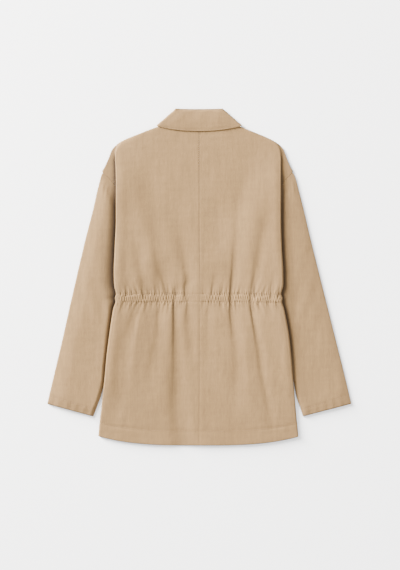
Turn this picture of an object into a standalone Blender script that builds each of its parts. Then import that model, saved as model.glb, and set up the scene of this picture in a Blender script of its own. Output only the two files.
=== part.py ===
"""A short trench coat laid flat on its front, with its back up.

Sizes are in millimetres until a vertex is made, then in metres. +X is to the right as seen from
above, +Y runs from the hem to the collar, +Z is up out of the back, and the coat lies on z = 0.
Lateral distances from the centre back are called "out", so that both halves share one rule.
"""

import math
from collections import namedtuple

import bmesh
import bpy

MM = 0.001

# Cloth.
WALL = 1.2
SEAM_GAP = 0.3
CLOTH_COLOUR = (0.56, 0.41, 0.28, 1.0)
CLOTH_ROUGHNESS = 0.85

# Heights of the middle of a wall, from the surface that the coat lies on.
FRONT_LAYER = 3.0
BACK_OVER_NECK = 5.2
BACK_OVER_FRONT = 5.4
BODY_OVER_SLEEVE = 4.5
SHOULDER_SEAM_LEVEL = 2.7
ONE_LAYER_UP = 2.2
UNDERSIDE_OVER_SLEEVE = 5.0

# Sleeves.
SLEEVE_PRESSED = 4.2
SLEEVE_CROWN = 2.8
SLEEVE_RAMP = 12.0

# Waist casing, between its two stitch rows, and the hem line.
CASING_TOP = -39.0
CASING_FOOT = -57.0
RUCHE_RISE = 0.6
HEM_CENTRE = -378.9
HEM_RISE = 21.0
HEM_POWER = 3.2
HEM_REACH = 227.0

# Collar: fold line corner, tip, collar point and the fold line's front end, as (out, y).
FOLD_CORNER = (52.3, 378.9)
COLLAR_TIP = (95.8, 340.9)
COLLAR_POINT = (62.0, 222.0)
FOLD_FRONT = (12.0, 262.0)
FALL_TOP_DIP = 1.8
FALL_CENTRE = 326.8
COLLAR_HEIGHT = 8.8
NECK_SHOULDER = (81.0, 343.0)
NECK_FRONT = (45.0, 250.0)
NECK_CENTRE_BACK = 334.0
FRONT_OVERLAP = 15.0

# One row for each height up the body: where the side fold lies on each half, how far the pleat at
# the side is tucked in behind it (less than 0 where it is still open), where the back ends, at the
# shoulder, armhole or side seam, how far the row follows the shoulder line, and how far the side is
# raised by what lies under it.
Row = namedtuple("Row", "y left right tuck end drop level")
BACK_ROWS = (
    Row(290.0, 176.0, 173.0, -10.0, 193.0, 1.00, 0.00),
    Row(284.0, 183.5, 179.5, -5.0, 197.0, 0.97, 0.28),
    Row(276.0, 187.5, 182.6, -3.5, 200.3, 0.92, 0.60),
    Row(262.0, 189.5, 184.3, 2.0, 205.8, 0.84, 0.90),
    Row(246.0, 188.3, 184.1, 10.0, 213.5, 0.75, 1.00),
    Row(235.4, 187.9, 184.1, 15.0, 218.4, 0.69, 1.00),
    Row(226.4, 187.6, 184.1, 17.0, 207.2, 0.64, 1.00),
    Row(217.4, 187.3, 184.1, 20.0, 198.2, 0.59, 1.00),
    Row(201.6, 187.2, 184.1, 27.0, 188.0, 0.50, 1.00),
    Row(178.0, 187.2, 184.1, 39.0, 175.7, 0.36, 1.00),
    Row(150.0, 187.2, 184.1, 55.0, 158.7, 0.20, 1.00),
    Row(115.0, 187.3, 184.2, 74.0, 135.7, 0.00, 1.00),
    Row(82.0, 189.0, 185.0, 90.0, 111.7, 0.00, 1.00),
    Row(64.0, 189.8, 185.7, 92.0, 99.2, 0.00, 1.00),
    Row(48.0, 190.6, 186.8, 0.0, 98.5, 0.00, 1.00),
    Row(25.0, 191.7, 188.4, 0.0, 111.0, 0.00, 1.00),
    Row(0.0, 191.9, 189.2, 0.0, 128.0, 0.00, 1.00),
    Row(-22.0, 190.6, 188.6, 0.0, 146.0, 0.00, 1.00),
    Row(-39.0, 186.9, 184.2, 0.0, 157.0, 0.00, 1.00),
    Row(-48.0, 189.3, 187.3, 0.0, 160.5, 0.00, 1.00),
    Row(-57.0, 188.2, 186.2, 0.0, 164.0, 0.00, 1.00),
    Row(-72.0, 193.0, 190.8, 0.0, 168.3, 0.00, 1.00),
    Row(-95.0, 197.0, 195.6, 0.0, 175.0, 0.00, 1.00),
    Row(-130.0, 202.0, 201.8, 0.0, 181.0, 0.00, 1.00),
    Row(-175.0, 207.8, 206.6, 0.0, 188.0, 0.00, 1.00),
    Row(-225.0, 212.6, 210.8, 0.0, 194.0, 0.00, 0.85),
    Row(-275.0, 218.2, 215.6, 0.0, 199.0, 0.00, 0.40),
    Row(-320.0, 223.6, 219.8, 0.0, 203.0, 0.00, 0.05),
    Row(-345.0, 226.0, 222.4, 0.0, 205.6, 0.00, 0.00),
    Row(-357.8, 227.0, 223.2, 0.0, 207.0, 0.00, 0.00),
)
ROWS_BETWEEN = (271.0, 266.5, 258.0, 254.0, 250.0, 241.0)
UNDERARM = 60.0
ROWS_BESIDE_ARMHOLE = (235.0, 226.4, 217.4, 201.6, 178.0, 150.0, 115.0, 82.0, 64.0)
ROWS_LEFT_TO_THE_BACK = (-48.0, -72.0, -345.0)

# How far out the back is fully raised over the sleeve, up the body.
Lift = namedtuple("Lift", "y full")
LIFTS = (Lift(-358, 205), Lift(-250, 196), Lift(-150, 170), Lift(-60, 140), Lift(0, 112),
         Lift(60, 80), Lift(115, 100), Lift(178, 135), Lift(235, 160), Lift(290, 170))
LIFT_WIDTH = 36.0

# Shoulder line, from the neck to the armhole.
Shoulder = namedtuple("Shoulder", "out y")
SHOULDER_LINE = (Shoulder(81, 343), Shoulder(101, 335.6), Shoulder(133, 323.3), Shoulder(156, 314.3),
                 Shoulder(178, 303.5), Shoulder(189.5, 294.5), Shoulder(197.3, 284.9),
                 Shoulder(206.3, 262.4), Shoulder(218.7, 235.4))

RIGHT_SHOULDER_STRETCH = (218.7 - 81.0) / (211.2 - 81.0)

# Armhole seam and the sleeve's two edges, from the shoulder down, as distances out.
Armhole = namedtuple("Armhole", "left right y")
ARMHOLE = (Armhole(218.7, 211.0, 235.0), Armhole(207.5, 204.0, 226.4), Armhole(198.5, 193.5, 217.4),
           Armhole(188.3, 184.0, 201.6), Armhole(165.0, 165.0, 162.0), Armhole(138.0, 138.0, 118.0),
           Armhole(112.0, 112.0, 82.0), Armhole(97.0, 97.0, 60.0))
Edge = namedtuple("Edge", "left right y")
SLEEVE_OUTER = (Edge(342.5, 342.9, -286.4), Edge(329.9, 330.3, -232.7), Edge(308.7, 307.8, -142.7),
                Edge(288.5, 285.3, -52.7), Edge(257.0, 251.6, 82.4), Edge(239.6, 235.8, 149.9),
                Edge(229.5, 224.3, 194.9), Edge(222.8, 217.8, 220.0), Edge(218.7, 211.6, 235.4))
SLEEVE_INNER = (Edge(238.5, 233.6, -314.8), Edge(232.2, 229.0, -299.2), Edge(223.9, 222.4, -268.7),
                Edge(214.9, 216.0, -233.0), Edge(191.0, 192.0, -150.0), Edge(162.0, 163.0, -60.0),
                Edge(130.0, 131.0, 15.0), Edge(101.5, 101.5, 66.0))

# Gathers: where each trough leaves the casing, where and how high it fades out, how deep and how
# wide it is, and how much of its depth lasts to the end. Distances are along +X.
Gather = namedtuple("Gather", "waist x y depth width lasts")
GATHERS_ABOVE = (
    Gather(-165, -169, 35, 1.0, 6, 0.0), Gather(-147, -152, -8, 1.0, 5, 0.0),
    Gather(-128, -156, 105, 1.5, 8, 0.1), Gather(-98, -101, -3, 1.0, 5, 0.0),
    Gather(-70, -136, 213, 1.9, 9, 0.2), Gather(-54, -54, -3, 1.3, 5, 0.0),
    Gather(-32, -70, 190, 1.9, 9, 0.1), Gather(10, 8, 33, 0.6, 6, 0.0),
    Gather(28, 33, 33, 1.0, 5, 0.0), Gather(47, 47, -10, 0.6, 5, 0.0),
    Gather(68, 83, 213, 2.0, 8, 0.2), Gather(97, 99, -8, 0.8, 5, 0.0),
    Gather(113, 139, 138, 1.7, 8, 0.1), Gather(124, 126, -5, 1.4, 5, 0.0),
    Gather(141, 143, -10, 0.8, 5, 0.0), Gather(158, 164, 26, 1.0, 6, 0.0),
    Gather(177, 183, -12, 0.9, 5, 0.0),
)
GATHERS_BELOW = (
    Gather(-169, -177, -95, 1.0, 6, 0.0), Gather(-147, -207, -345, 1.6, 12, 0.3),
    Gather(-138, -141, -88, 1.0, 5, 0.0), Gather(-122, -123, -125, 1.1, 6, 0.0),
    Gather(-93, -131, -310, 1.5, 9, 0.2), Gather(-57, -57, -379, 2.0, 9, 0.5),
    Gather(-41, -41, -80, 0.8, 5, 0.0), Gather(-28, -37, -190, 1.1, 8, 0.0),
    Gather(8, 8, -80, 0.6, 5, 0.0), Gather(22, 15, -225, 0.9, 8, 0.1),
    Gather(33, 34, -82, 0.6, 5, 0.0), Gather(47, 42, -120, 0.8, 6, 0.0),
    Gather(68, 67, -300, 1.8, 9, 0.2), Gather(82, 85, -95, 1.0, 5, 0.0),
    Gather(116, 158, -340, 2.0, 9, 0.2), Gather(132, 135, -88, 0.9, 5, 0.0),
    Gather(151, 162, -125, 1.0, 6, 0.0), Gather(173, 177, -88, 1.0, 5, 0.0),
)

# Centre back seam, a little off the centre.
Seam = namedtuple("Seam", "y x")
CENTRE_SEAM = (Seam(-379, -1.4), Seam(-200, 0.8), Seam(-40, 1.6), Seam(100, -0.3), Seam(340, -0.5))

# Grid counts.
BACK_COLUMNS = 28
TURN_COLUMNS = 4
PLEAT_COLUMNS = 3
INNER_TURN_COLUMNS = 3
END_COLUMNS = 2
SLEEVE_ROWS = 12
COLLAR_COLUMNS = 10
LEAF_COLUMNS = 4
EDGE_COLUMNS = 4


def smooth(value):
    """An easy rise from 0 to 1."""
    value = min(max(value, 0.0), 1.0)
    return value * value * (3.0 - 2.0 * value)


def mix(start, end, share):
    """A point or number between two others."""
    if isinstance(start, tuple):
        return tuple(a + (b - a) * share for a, b in zip(start, end))
    return start + (end - start) * share


def through(table, key, name, value):
    """The column `name` of a table at `value` of the column `key`, on a smooth curve."""
    rows = sorted(table, key=lambda row: getattr(row, key))
    keys = [getattr(row, key) for row in rows]
    names = [getattr(row, name) for row in rows]
    value = min(max(value, keys[0]), keys[-1])
    last = len(rows) - 1
    slot = next(i for i in range(last) if value <= keys[i + 1])

    def slope(i):
        low, high = max(i - 1, 0), min(i + 1, last)
        return (names[high] - names[low]) / (keys[high] - keys[low])

    span = keys[slot + 1] - keys[slot]
    t = (value - keys[slot]) / span
    return (names[slot] * (1 + 2 * t) * (1 - t) ** 2 + slope(slot) * span * t * (1 - t) ** 2
            + names[slot + 1] * t * t * (3 - 2 * t) + slope(slot + 1) * span * t * t * (t - 1))


def side_name(side):
    """The table column of a half: -1 is the left of the picture, 1 the right."""
    return "left" if side < 0 else "right"


def hem_y(out):
    """The hem line, lowest at the centre."""
    return HEM_CENTRE + HEM_RISE * (min(abs(out), HEM_REACH) / HEM_REACH) ** HEM_POWER


def on_left_shoulder(side, out):
    """The place on the left shoulder line that a place on either half answers to."""
    neck_out = NECK_SHOULDER[0]
    if side < 0 or out < neck_out:
        return out
    return neck_out + (out - neck_out) * RIGHT_SHOULDER_STRETCH


def back_top_y(side, out):
    """The neck seam of the back, then the shoulder line as far as the side pleat."""
    neck_out, neck_y = NECK_SHOULDER
    if out < neck_out:
        return NECK_CENTRE_BACK + (neck_y - NECK_CENTRE_BACK) * (out / neck_out) ** 2
    return through(SHOULDER_LINE, "out", "y", min(on_left_shoulder(side, out), BACK_ROWS[0].end))


def front_top_y(side, out):
    """The neck seam of a front, then the shoulder line."""
    if out < NECK_FRONT[0]:
        return mix(238.0, NECK_FRONT[1], (out + FRONT_OVERLAP) / (NECK_FRONT[0] + FRONT_OVERLAP))
    if out < NECK_SHOULDER[0]:
        share = (out - NECK_FRONT[0]) / (NECK_SHOULDER[0] - NECK_FRONT[0])
        return mix(NECK_FRONT[1], NECK_SHOULDER[1], share)
    return through(SHOULDER_LINE, "out", "y", on_left_shoulder(side, out))


def gather_depth(x, y):
    """How deep the gathers press the back at one place."""
    above = y > CASING_TOP
    start = CASING_TOP if above else CASING_FOOT
    if not above and y > CASING_FOOT:
        return 0.0
    depth = 0.0
    for gather in GATHERS_ABOVE if above else GATHERS_BELOW:
        run = (y - start) / (gather.y - start)
        if run > 1.15:
            continue
        centre = mix(gather.waist, gather.x, run ** 0.9)
        width = gather.width * (1.0 + 0.7 * run)
        fade = mix(1.0, gather.lasts, smooth(run)) * smooth((1.15 - run) / 0.2)
        depth += gather.depth * fade * math.exp(-((x - centre) / width) ** 2)
    return depth


def ruche(out, y):
    """How high the small upright folds stand that draw the cloth up on the casing."""
    near = math.exp(-((y - (CASING_TOP + CASING_FOOT) / 2) / 16.0) ** 2)
    return RUCHE_RISE * near * smooth((out - 22.0) / 25.0)


def lift(out, y):
    """How far the body is raised by the sleeve that lies under its side, from 0 to 1."""
    full = through(LIFTS, "y", "full", y)
    return smooth((out - full + LIFT_WIDTH) / LIFT_WIDTH)


def rest_height(side, out, y):
    """Lowest point of what lies on the sleeve's inner part."""
    inner = through(SLEEVE_INNER, "y", side_name(side), y)
    return UNDERSIDE_OVER_SLEEVE * smooth((out - inner + SLEEVE_RAMP + 2.0) / SLEEVE_RAMP)


def back_level(side, out, y, row):
    """Middle of the wall of the back's upper layer, before it turns under at the side."""
    level = mix(0.0, BODY_OVER_SLEEVE, row.level) * lift(out, y)
    return BACK_OVER_FRONT + level - gather_depth(side * out, y)


def shoulder_drop(level, out, below):
    """The back's level where it comes down to the shoulder seam, `below` the seam."""
    seam = mix(BACK_OVER_NECK, SHOULDER_SEAM_LEVEL, smooth((out - 125.0) / 30.0))
    reach = 26.0 if out > 101.0 else 8.0
    share = 1.0 - min(below / reach, 1.0)
    return mix(level, seam, 1.0 - math.sqrt(max(1.0 - share * share, 0.0)))


def pleat_path(start, top, inner, low, end):
    """Points of an S-shaped pleat, from the top layer round to the layer that comes out below."""
    step = max(top - low, 0.0)
    before = start - inner
    outer_turn, inner_turn = 0.30 * step, 0.17 * step
    both = outer_turn + inner_turn
    start -= outer_turn
    inner += inner_turn
    across, down = inner - start, step - both
    line = math.sqrt(max(across * across + down * down - both * both, 0.0))
    angle = math.atan2(both, line) + math.atan2(down, across)
    points = []
    for k in range(1, TURN_COLUMNS + 1):
        turn = angle * k / TURN_COLUMNS
        points.append((start + outer_turn * math.sin(turn), top - outer_turn + outer_turn * math.cos(turn)))
    last_of_turn = points[-1]
    first_inner = (inner - inner_turn * math.sin(angle), low + inner_turn - inner_turn * math.cos(angle))
    for k in range(1, PLEAT_COLUMNS + 1):
        points.append(mix(last_of_turn, first_inner, k / PLEAT_COLUMNS))
    for k in range(1, INNER_TURN_COLUMNS + 1):
        turn = angle * (1.0 - k / INNER_TURN_COLUMNS)
        points.append((inner - inner_turn * math.sin(turn), low + inner_turn - inner_turn * math.cos(turn)))
    for k in range(1, END_COLUMNS + 1):
        points.append(mix((inner, low), (end, low), k / END_COLUMNS))
    lengths = [0.0]
    for a, b in zip([(start, top)] + points, points):
        lengths.append(lengths[-1] + math.dist(a, b))
    own = smooth((before + 2.0) / 10.0)
    fractions = [mix(k / len(points), lengths[k] / lengths[-1], own) for k in range(1, len(points) + 1)]
    return start, [point_along([(start, top)] + points, lengths, share * lengths[-1]) for share in fractions]


def point_along(points, lengths, run):
    """The point of a polyline at a distance from its start."""
    k = next((k for k in range(1, len(lengths)) if run <= lengths[k]), len(lengths) - 1)
    span = max(lengths[k] - lengths[k - 1], 1e-9)
    return mix(points[k - 1], points[k], min((run - lengths[k - 1]) / span, 1.0))


def all_back_rows():
    """The rows of the table, with more of them between where the side pleat begins."""
    between = [Row(y, *(through(BACK_ROWS, "y", name, y) for name in Row._fields[1:])) for y in ROWS_BETWEEN]
    return sorted(BACK_ROWS + tuple(between), key=lambda row: -row.y)


def hem_share(y):
    """How far a row follows the curve of the hem."""
    return min(max((y + 175.0) / (BACK_ROWS[-1].y + 175.0), 0.0), 1.0)


def side_path(side, start, top, row):
    """Points of the back's side below the armhole: a round turn, then back in to the side seam."""
    held = UNDERSIDE_OVER_SLEEVE * smooth((row.y + 10.0) / 30.0)
    low = max(rest_height(side, start, row.y), held) + WALL / 2
    radius = (top - low) / 2
    start -= radius
    points = []
    for k in range(1, TURN_COLUMNS + 1):
        turn = math.pi * k / TURN_COLUMNS
        points.append((start + radius * math.sin(turn), top - radius + radius * math.cos(turn)))
    away = smooth((UNDERARM - row.y) / 50.0)
    curl, step, count = math.radians(90.0) * (1.0 - away), mix(0.8, 2.0, away), INNER_TURN_COLUMNS + END_COLUMNS
    steps = [(math.cos(curl * (k + 0.5) / count), math.sin(curl * (k + 0.5) / count)) for k in range(count)]
    reach = max(sum(s[0] for s in steps[:k + 1]) for k in range(count)) * step
    first = row.end + max(reach, 0.0)
    for k in range(1, PLEAT_COLUMNS + 1):
        out = mix(start, first, k / PLEAT_COLUMNS)
        points.append((out, max(rest_height(side, out, row.y), held) + WALL / 2))
    out, dip = first, 0.0
    for inward, down in steps:
        out -= inward * step
        dip += down * step
        points.append((out, max(rest_height(side, out, row.y), held) + WALL / 2 - dip))
    return start, points


def back_row(side, row):
    """One row of the back's grid, from the centre back seam to its hidden end."""
    side_top = through(SHOULDER_LINE, "out", "y", BACK_ROWS[0].end)

    def height_on_row(out):
        lifted = (back_top_y(side, out) - side_top) * row.drop
        return row.y + lifted + (hem_y(out) - hem_y(HEM_REACH)) * hem_share(row.y)

    edge = getattr(row, side_name(side)) - WALL / 2
    below = 290.0 - row.y
    top = shoulder_drop(back_level(side, edge - 4.0, row.y, row), edge, below)
    if row.y > UNDERARM:
        end = row.end
        if row.y > ARMHOLE[0].y:
            neck_out = NECK_SHOULDER[0]
            end = row.end if side < 0 else neck_out + (row.end - neck_out) / RIGHT_SHOULDER_STRETCH
        else:
            end = through(ARMHOLE, "y", side_name(side), row.y) - SEAM_GAP
        low = mix(SHOULDER_SEAM_LEVEL, FRONT_LAYER, min(below / 10.0, 1.0))
        fold = mix(edge, row.left - WALL / 2, smooth(row.tuck / 40.0))
        start, under = pleat_path(edge, top, fold - row.tuck, low, end)
    else:
        start, under = side_path(side, edge, top, row)
    centre = side * through(CENTRE_SEAM, "y", "x", row.y) + SEAM_GAP / 2
    points = []
    for k in range(BACK_COLUMNS + 1):
        out = mix(centre, start, k / BACK_COLUMNS)
        y = height_on_row(out)
        level = shoulder_drop(back_level(side, out, y, row), out, back_top_y(side, out) - y)
        level += ruche(out, y) * (-1) ** k
        if k == BACK_COLUMNS:
            level = top
        points.append((side * out, y, level))
    points += [(side * out, height_on_row(out), level) for out, level in under]
    return points


def leaf_lift(out, y):
    """How far a front is raised by the collar's leaf under it."""
    corners = (FOLD_CORNER, FOLD_FRONT, COLLAR_POINT, COLLAR_TIP)
    inside = min(
        ((b[0] - a[0]) * (y - a[1]) - (b[1] - a[1]) * (out - a[0])) / math.dist(a, b)
        for a, b in zip(corners, corners[1:] + corners[:1]))
    beyond_overlap = smooth((out - FRONT_OVERLAP - 2.0) / 8.0)
    return ONE_LAYER_UP * beyond_overlap * smooth((inside + 40.0) / 20.0)


def front_outs(side, y, outer):
    """Where a front's columns lie on one row, from its closing edge outwards."""
    near_edge = [-FRONT_OVERLAP, 1.0, FRONT_OVERLAP + 2.0, FRONT_OVERLAP + 10.0]
    along_top = [NECK_FRONT[0], 64.0, NECK_SHOULDER[0], 105.0, 133.0, 160.0, 190.0]
    corner = through(ARMHOLE, "y", side_name(side), 235.0)
    if y > UNDERARM:
        shrink = (outer - near_edge[-1]) / (corner - near_edge[-1])
        return near_edge + [near_edge[-1] + (out - near_edge[-1]) * shrink for out in along_top + [corner]]
    inner = through(SLEEVE_INNER, "y", side_name(side), y)
    ramp = [min(inner - 14.0, outer - 9.0), min(inner - 8.0, outer - 6.0), min(inner - 2.0, outer - 3.0)]
    between = [mix(near_edge[-1], ramp[0], k / 5) for k in range(1, 5)]
    return near_edge + between + ramp + [outer]


def front_grid(side):
    """The grid of a front's underside, from its closing edge to the armhole and the side seam."""
    name = side_name(side)
    corner = through(ARMHOLE, "y", name, 235.0)
    top_outs = front_outs(side, 235.0, corner)
    below = [row.y for row in BACK_ROWS if row.y < UNDERARM and row.y not in ROWS_LEFT_TO_THE_BACK]
    grid = []
    for level in list(ROWS_BESIDE_ARMHOLE) + below:
        if level > UNDERARM:
            outer = through(ARMHOLE, "y", name, level)
        else:
            outer = next(row.end for row in BACK_ROWS if row.y == level) - (1.4 if level > 20.0 else 0.0)
        drop = min(max((level - UNDERARM) / 175.0, 0.0), 1.0)
        fade = 1.0 - smooth((level - 20.0) / 25.0)
        row = []
        for top_out, out in zip(top_outs, front_outs(side, level, outer - SEAM_GAP)):
            y = level + (front_top_y(side, top_out) - front_top_y(side, corner)) * drop
            y += (hem_y(out) - hem_y(HEM_REACH)) * hem_share(level)
            rise = max(rest_height(side, out, y) * fade, leaf_lift(out, y))
            if side < 0:
                rise = max(rise, ONE_LAYER_UP * smooth((FRONT_OVERLAP + 10.0 - out) / 8.0))
            row.append((side * out, y, rise))
        grid.append(row)
    return grid


def sleeve_grid(side):
    """The grid round a sleeve's outer skin, from cuff to armhole, starting under its outer edge."""
    name = side_name(side)
    radius = SLEEVE_PRESSED / 2
    top_y, under_y = 234.6, SLEEVE_INNER[-1].y
    across_shares = [(top_y - y) / (top_y - under_y) for y in ROWS_BESIDE_ARMHOLE[1:-1]]
    grid = []
    for r in range(SLEEVE_ROWS + 1):
        share = r / SLEEVE_ROWS
        outer_y = mix(SLEEVE_OUTER[0].y, top_y, share)
        inner_y = mix(SLEEVE_INNER[0].y, under_y, share)
        outer = (through(SLEEVE_OUTER, "y", name, outer_y), outer_y)
        inner = (through(SLEEVE_INNER, "y", name, inner_y), inner_y)
        width = math.dist(outer, inner)
        flat = [radius] + [width * share_across for share_across in across_shares]
        profile = [(across, 0.0) for across in flat]
        for k in range(EDGE_COLUMNS):
            turn = math.pi * k / EDGE_COLUMNS
            profile.append((width - radius + radius * math.sin(turn), radius - radius * math.cos(turn)))
        profile += [(across, SLEEVE_PRESSED) for across in [width - radius] + flat[:0:-1]]
        for k in range(EDGE_COLUMNS):
            turn = math.pi * k / EDGE_COLUMNS
            profile.append((radius - radius * math.sin(turn), radius + radius * math.cos(turn)))
        row = []
        for across, height in profile:
            out, y = mix(outer, inner, across / width)
            if share == 1.0:
                y = mix(top_y, under_y, max(across, radius) / width)
                out = through(ARMHOLE, "y", name, y) + SEAM_GAP + 0.9 * max(radius - across, 0.0)
            if height == SLEEVE_PRESSED:
                clear = out - through(BACK_ROWS, "y", name, y) - 6.0
                height += SLEEVE_CROWN * smooth(clear / 25.0) * smooth(across / 22.0) * smooth((1 - share) * 6)
            row.append((side * out, y, height))
        grid.append(row)
    return grid


def crease(share, inset):
    """A point of the collar's side crease, `share` of the way to the tip and `inset` from the edge."""
    out, y = mix(FOLD_CORNER, COLLAR_TIP, share)
    run = (COLLAR_TIP[0] - FOLD_CORNER[0], COLLAR_TIP[1] - FOLD_CORNER[1])
    length = math.hypot(*run)
    return out + inset * run[1] / length, y - inset * run[0] / length


def band_row(tip_share, inset, heights, leaf_end, back_y, pull):
    """One row along a collar band: left leaf, side turn, back, side turn, right leaf."""
    low, high = heights
    radius = (high - low) / 2
    out, y = crease(tip_share, inset + radius)
    run = (COLLAR_TIP[0] - FOLD_CORNER[0], COLLAR_TIP[1] - FOLD_CORNER[1])
    normal = (-run[1] / math.hypot(*run), run[0] / math.hypot(*run))
    half = [mix((*leaf_end, low + pull), (out, y, low + pull), k / LEAF_COLUMNS) for k in range(LEAF_COLUMNS)]
    for k in range(TURN_COLUMNS):
        turn = math.pi * k / TURN_COLUMNS
        reach = (radius - pull) * math.sin(turn)
        half.append((out + normal[0] * reach, y + normal[1] * reach,
                     low + radius - (radius - pull) * math.cos(turn)))
    back = []
    for k in range(COLLAR_COLUMNS + 1):
        along = mix(-1.0, 1.0, k / COLLAR_COLUMNS)
        back.append((along * out, y + (back_y - y) * (1.0 - abs(along) ** 2.2), high - pull))
    left = [(-px, py, pz) for px, py, pz in half]
    right = [(px, py, pz) for px, py, pz in reversed(half)]
    return left + back + right


def fall_grid():
    """The outer skin of the collar's fall, from inside its fold line to its outer edge."""
    rows = ((0.0, 0.8), (0.02, 0.0), (0.25, 0.0), (0.5, 0.0), (0.75, 0.0), (1.0, 0.0))
    grid = []
    for share, pull in rows:
        back_y = mix(FOLD_CORNER[1] - FALL_TOP_DIP, FALL_CENTRE, share)
        leaf_end = mix(FOLD_FRONT, COLLAR_POINT, share)
        grid.append(band_row(share, 0.0, (0.0, COLLAR_HEIGHT), leaf_end, back_y, pull))
    return grid


def stand_grid():
    """The middle of the collar stand's wall, from the fold line to the neck seam."""
    grid = []
    for share in (0.0, 0.5, 1.0):
        back_y = mix(FOLD_CORNER[1] - 4.0, NECK_CENTRE_BACK + WALL, share)
        leaf_end = mix((14.0, 259.0), (NECK_FRONT[0] - 2.0, NECK_FRONT[1] + 3.0), share)
        heights = (FRONT_LAYER, BACK_OVER_NECK)
        grid.append(band_row(mix(0.08, 0.66, share), 3.2, heights, leaf_end, back_y, 0.0))
    return grid


def cloth_material(name):
    """A matt cotton cloth."""
    material = bpy.data.materials.new(name)
    material.use_nodes = True
    shader = material.node_tree.nodes["Principled BSDF"]
    shader.inputs["Base Color"].default_value = CLOTH_COLOUR
    shader.inputs["Roughness"].default_value = CLOTH_ROUGHNESS
    shader.inputs["Metallic"].default_value = 0.0
    return material


def cloth_piece(name, grid, collection, offset, flip=False, closed=False):
    """A wall of cloth on a grid of points, with its thickness added by Solidify."""
    rows, columns = len(grid), len(grid[0])
    across = columns + 1 if closed else columns
    shape = bmesh.new()
    bmesh.ops.create_grid(shape, x_segments=rows - 1, y_segments=across - 1, size=1.0)
    ordered = sorted(shape.verts, key=lambda v: (round(v.co.x, 4), round(v.co.y, 4)))
    for number, vert in enumerate(ordered):
        x, y, z = grid[number // across][number % across % columns]
        vert.co = (x * MM, y * MM, z * MM)
    if closed:
        bmesh.ops.remove_doubles(shape, verts=shape.verts, dist=0.000001)
    if flip:
        bmesh.ops.reverse_faces(shape, faces=shape.faces)
    mesh = bpy.data.meshes.new(name)
    shape.to_mesh(mesh)
    shape.free()
    mesh.shade_smooth()
    mesh.materials.append(cloth_material(name + "_cloth"))
    piece = bpy.data.objects.new(name, mesh)
    collection.objects.link(piece)
    wall = piece.modifiers.new("Wall", "SOLIDIFY")
    wall.thickness = WALL * MM
    wall.offset = offset
    wall.use_even_offset = False
    return piece


def build():
    """Make every piece of the coat."""
    for old in list(bpy.data.objects):
        bpy.data.objects.remove(old)
    coat = bpy.data.collections.new("trench_coat")
    bpy.context.scene.collection.children.link(coat)
    for side in (-1, 1):
        label = side_name(side)
        back = [back_row(side, row) for row in all_back_rows()]
        cloth_piece("back_" + label, back, coat, 0.0, flip=side > 0)
        cloth_piece("front_" + label, front_grid(side), coat, -1.0, flip=side > 0)
        cloth_piece("sleeve_" + label, sleeve_grid(side), coat, -1.0, flip=side > 0, closed=True)
    cloth_piece("collar_fall", fall_grid(), coat, -1.0)
    cloth_piece("collar_stand", stand_grid(), coat, 0.0)


build()
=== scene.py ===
"""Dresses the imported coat: a short beige trench coat laid flat with its back up.

The pieces are grids of cloth that follow named curves, in millimetres, and become metres when their
vertices are made. +X is right as seen from above, +Y runs from hem to collar, +Z is up.
"""

import logging
import math
from dataclasses import dataclass, field
from enum import Enum
from typing import NamedTuple, Sequence

import bmesh
import bpy
import numpy as np
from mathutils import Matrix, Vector
from mathutils.bvhtree import BVHTree


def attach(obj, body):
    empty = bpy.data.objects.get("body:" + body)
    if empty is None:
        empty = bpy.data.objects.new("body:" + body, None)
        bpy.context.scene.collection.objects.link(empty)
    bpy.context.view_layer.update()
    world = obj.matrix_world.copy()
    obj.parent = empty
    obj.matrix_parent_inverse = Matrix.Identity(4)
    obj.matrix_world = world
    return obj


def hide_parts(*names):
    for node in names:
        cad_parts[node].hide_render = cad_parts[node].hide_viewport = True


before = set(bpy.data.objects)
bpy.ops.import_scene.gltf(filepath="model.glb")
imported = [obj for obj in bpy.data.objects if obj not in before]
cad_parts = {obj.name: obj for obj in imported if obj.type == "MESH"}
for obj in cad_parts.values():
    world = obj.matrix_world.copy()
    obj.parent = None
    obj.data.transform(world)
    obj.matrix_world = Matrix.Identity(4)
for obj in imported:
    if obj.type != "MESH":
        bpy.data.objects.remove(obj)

log = logging.getLogger("coat")

Numbers = float | np.ndarray
Point = tuple[float, float]

MM = 0.001
WALL = 1.2
# Between a front and its neighbours, between two sewn edges, and the narrow column beside the centre seam.
SEAM_GAP = 0.3
SEWN_GAP = 0.06
SEAM_RIM = 0.12

# Heights of the middle of a wall, above the surface that the coat lies on.
FRONT_LAYER = 3.0
BACK_OVER_NECK = 5.2
BACK_OVER_FRONT = 6.2
BODY_OVER_SLEEVE = 4.9
SHOULDER_SEAM_LEVEL = 2.7
ONE_LAYER_UP = 2.2
UNDERSIDE_OVER_SLEEVE = 5.0

SLEEVE_PRESSED = 4.2
SLEEVE_VALLEY = 2.9
SLEEVE_RAMP = 12.0
SLEEVE_TOP = 234.6
SLEEVE_LENGTH = 548.0
CUFF_HEM = 21.0

CASING_TOP = -39.0
CASING_FOOT = -57.0
CASING_MIDDLE = (CASING_TOP + CASING_FOOT) / 2
CASING_DIP = 1.6
CASING_LINE_WIDTH = 1.7
HEM_LINE_WIDTH = 1.8
HEM_LINE_DEPTH = 1.7

HEM_CENTRE = -378.9
HEM_RISE = 21.0
HEM_POWER = 3.2
HEM_REACH = 227.0
HEM_DEPTH = 31.0
HEM_TURN_RADIUS = 0.95
HEM_BEND_TOP = -175.0

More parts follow.
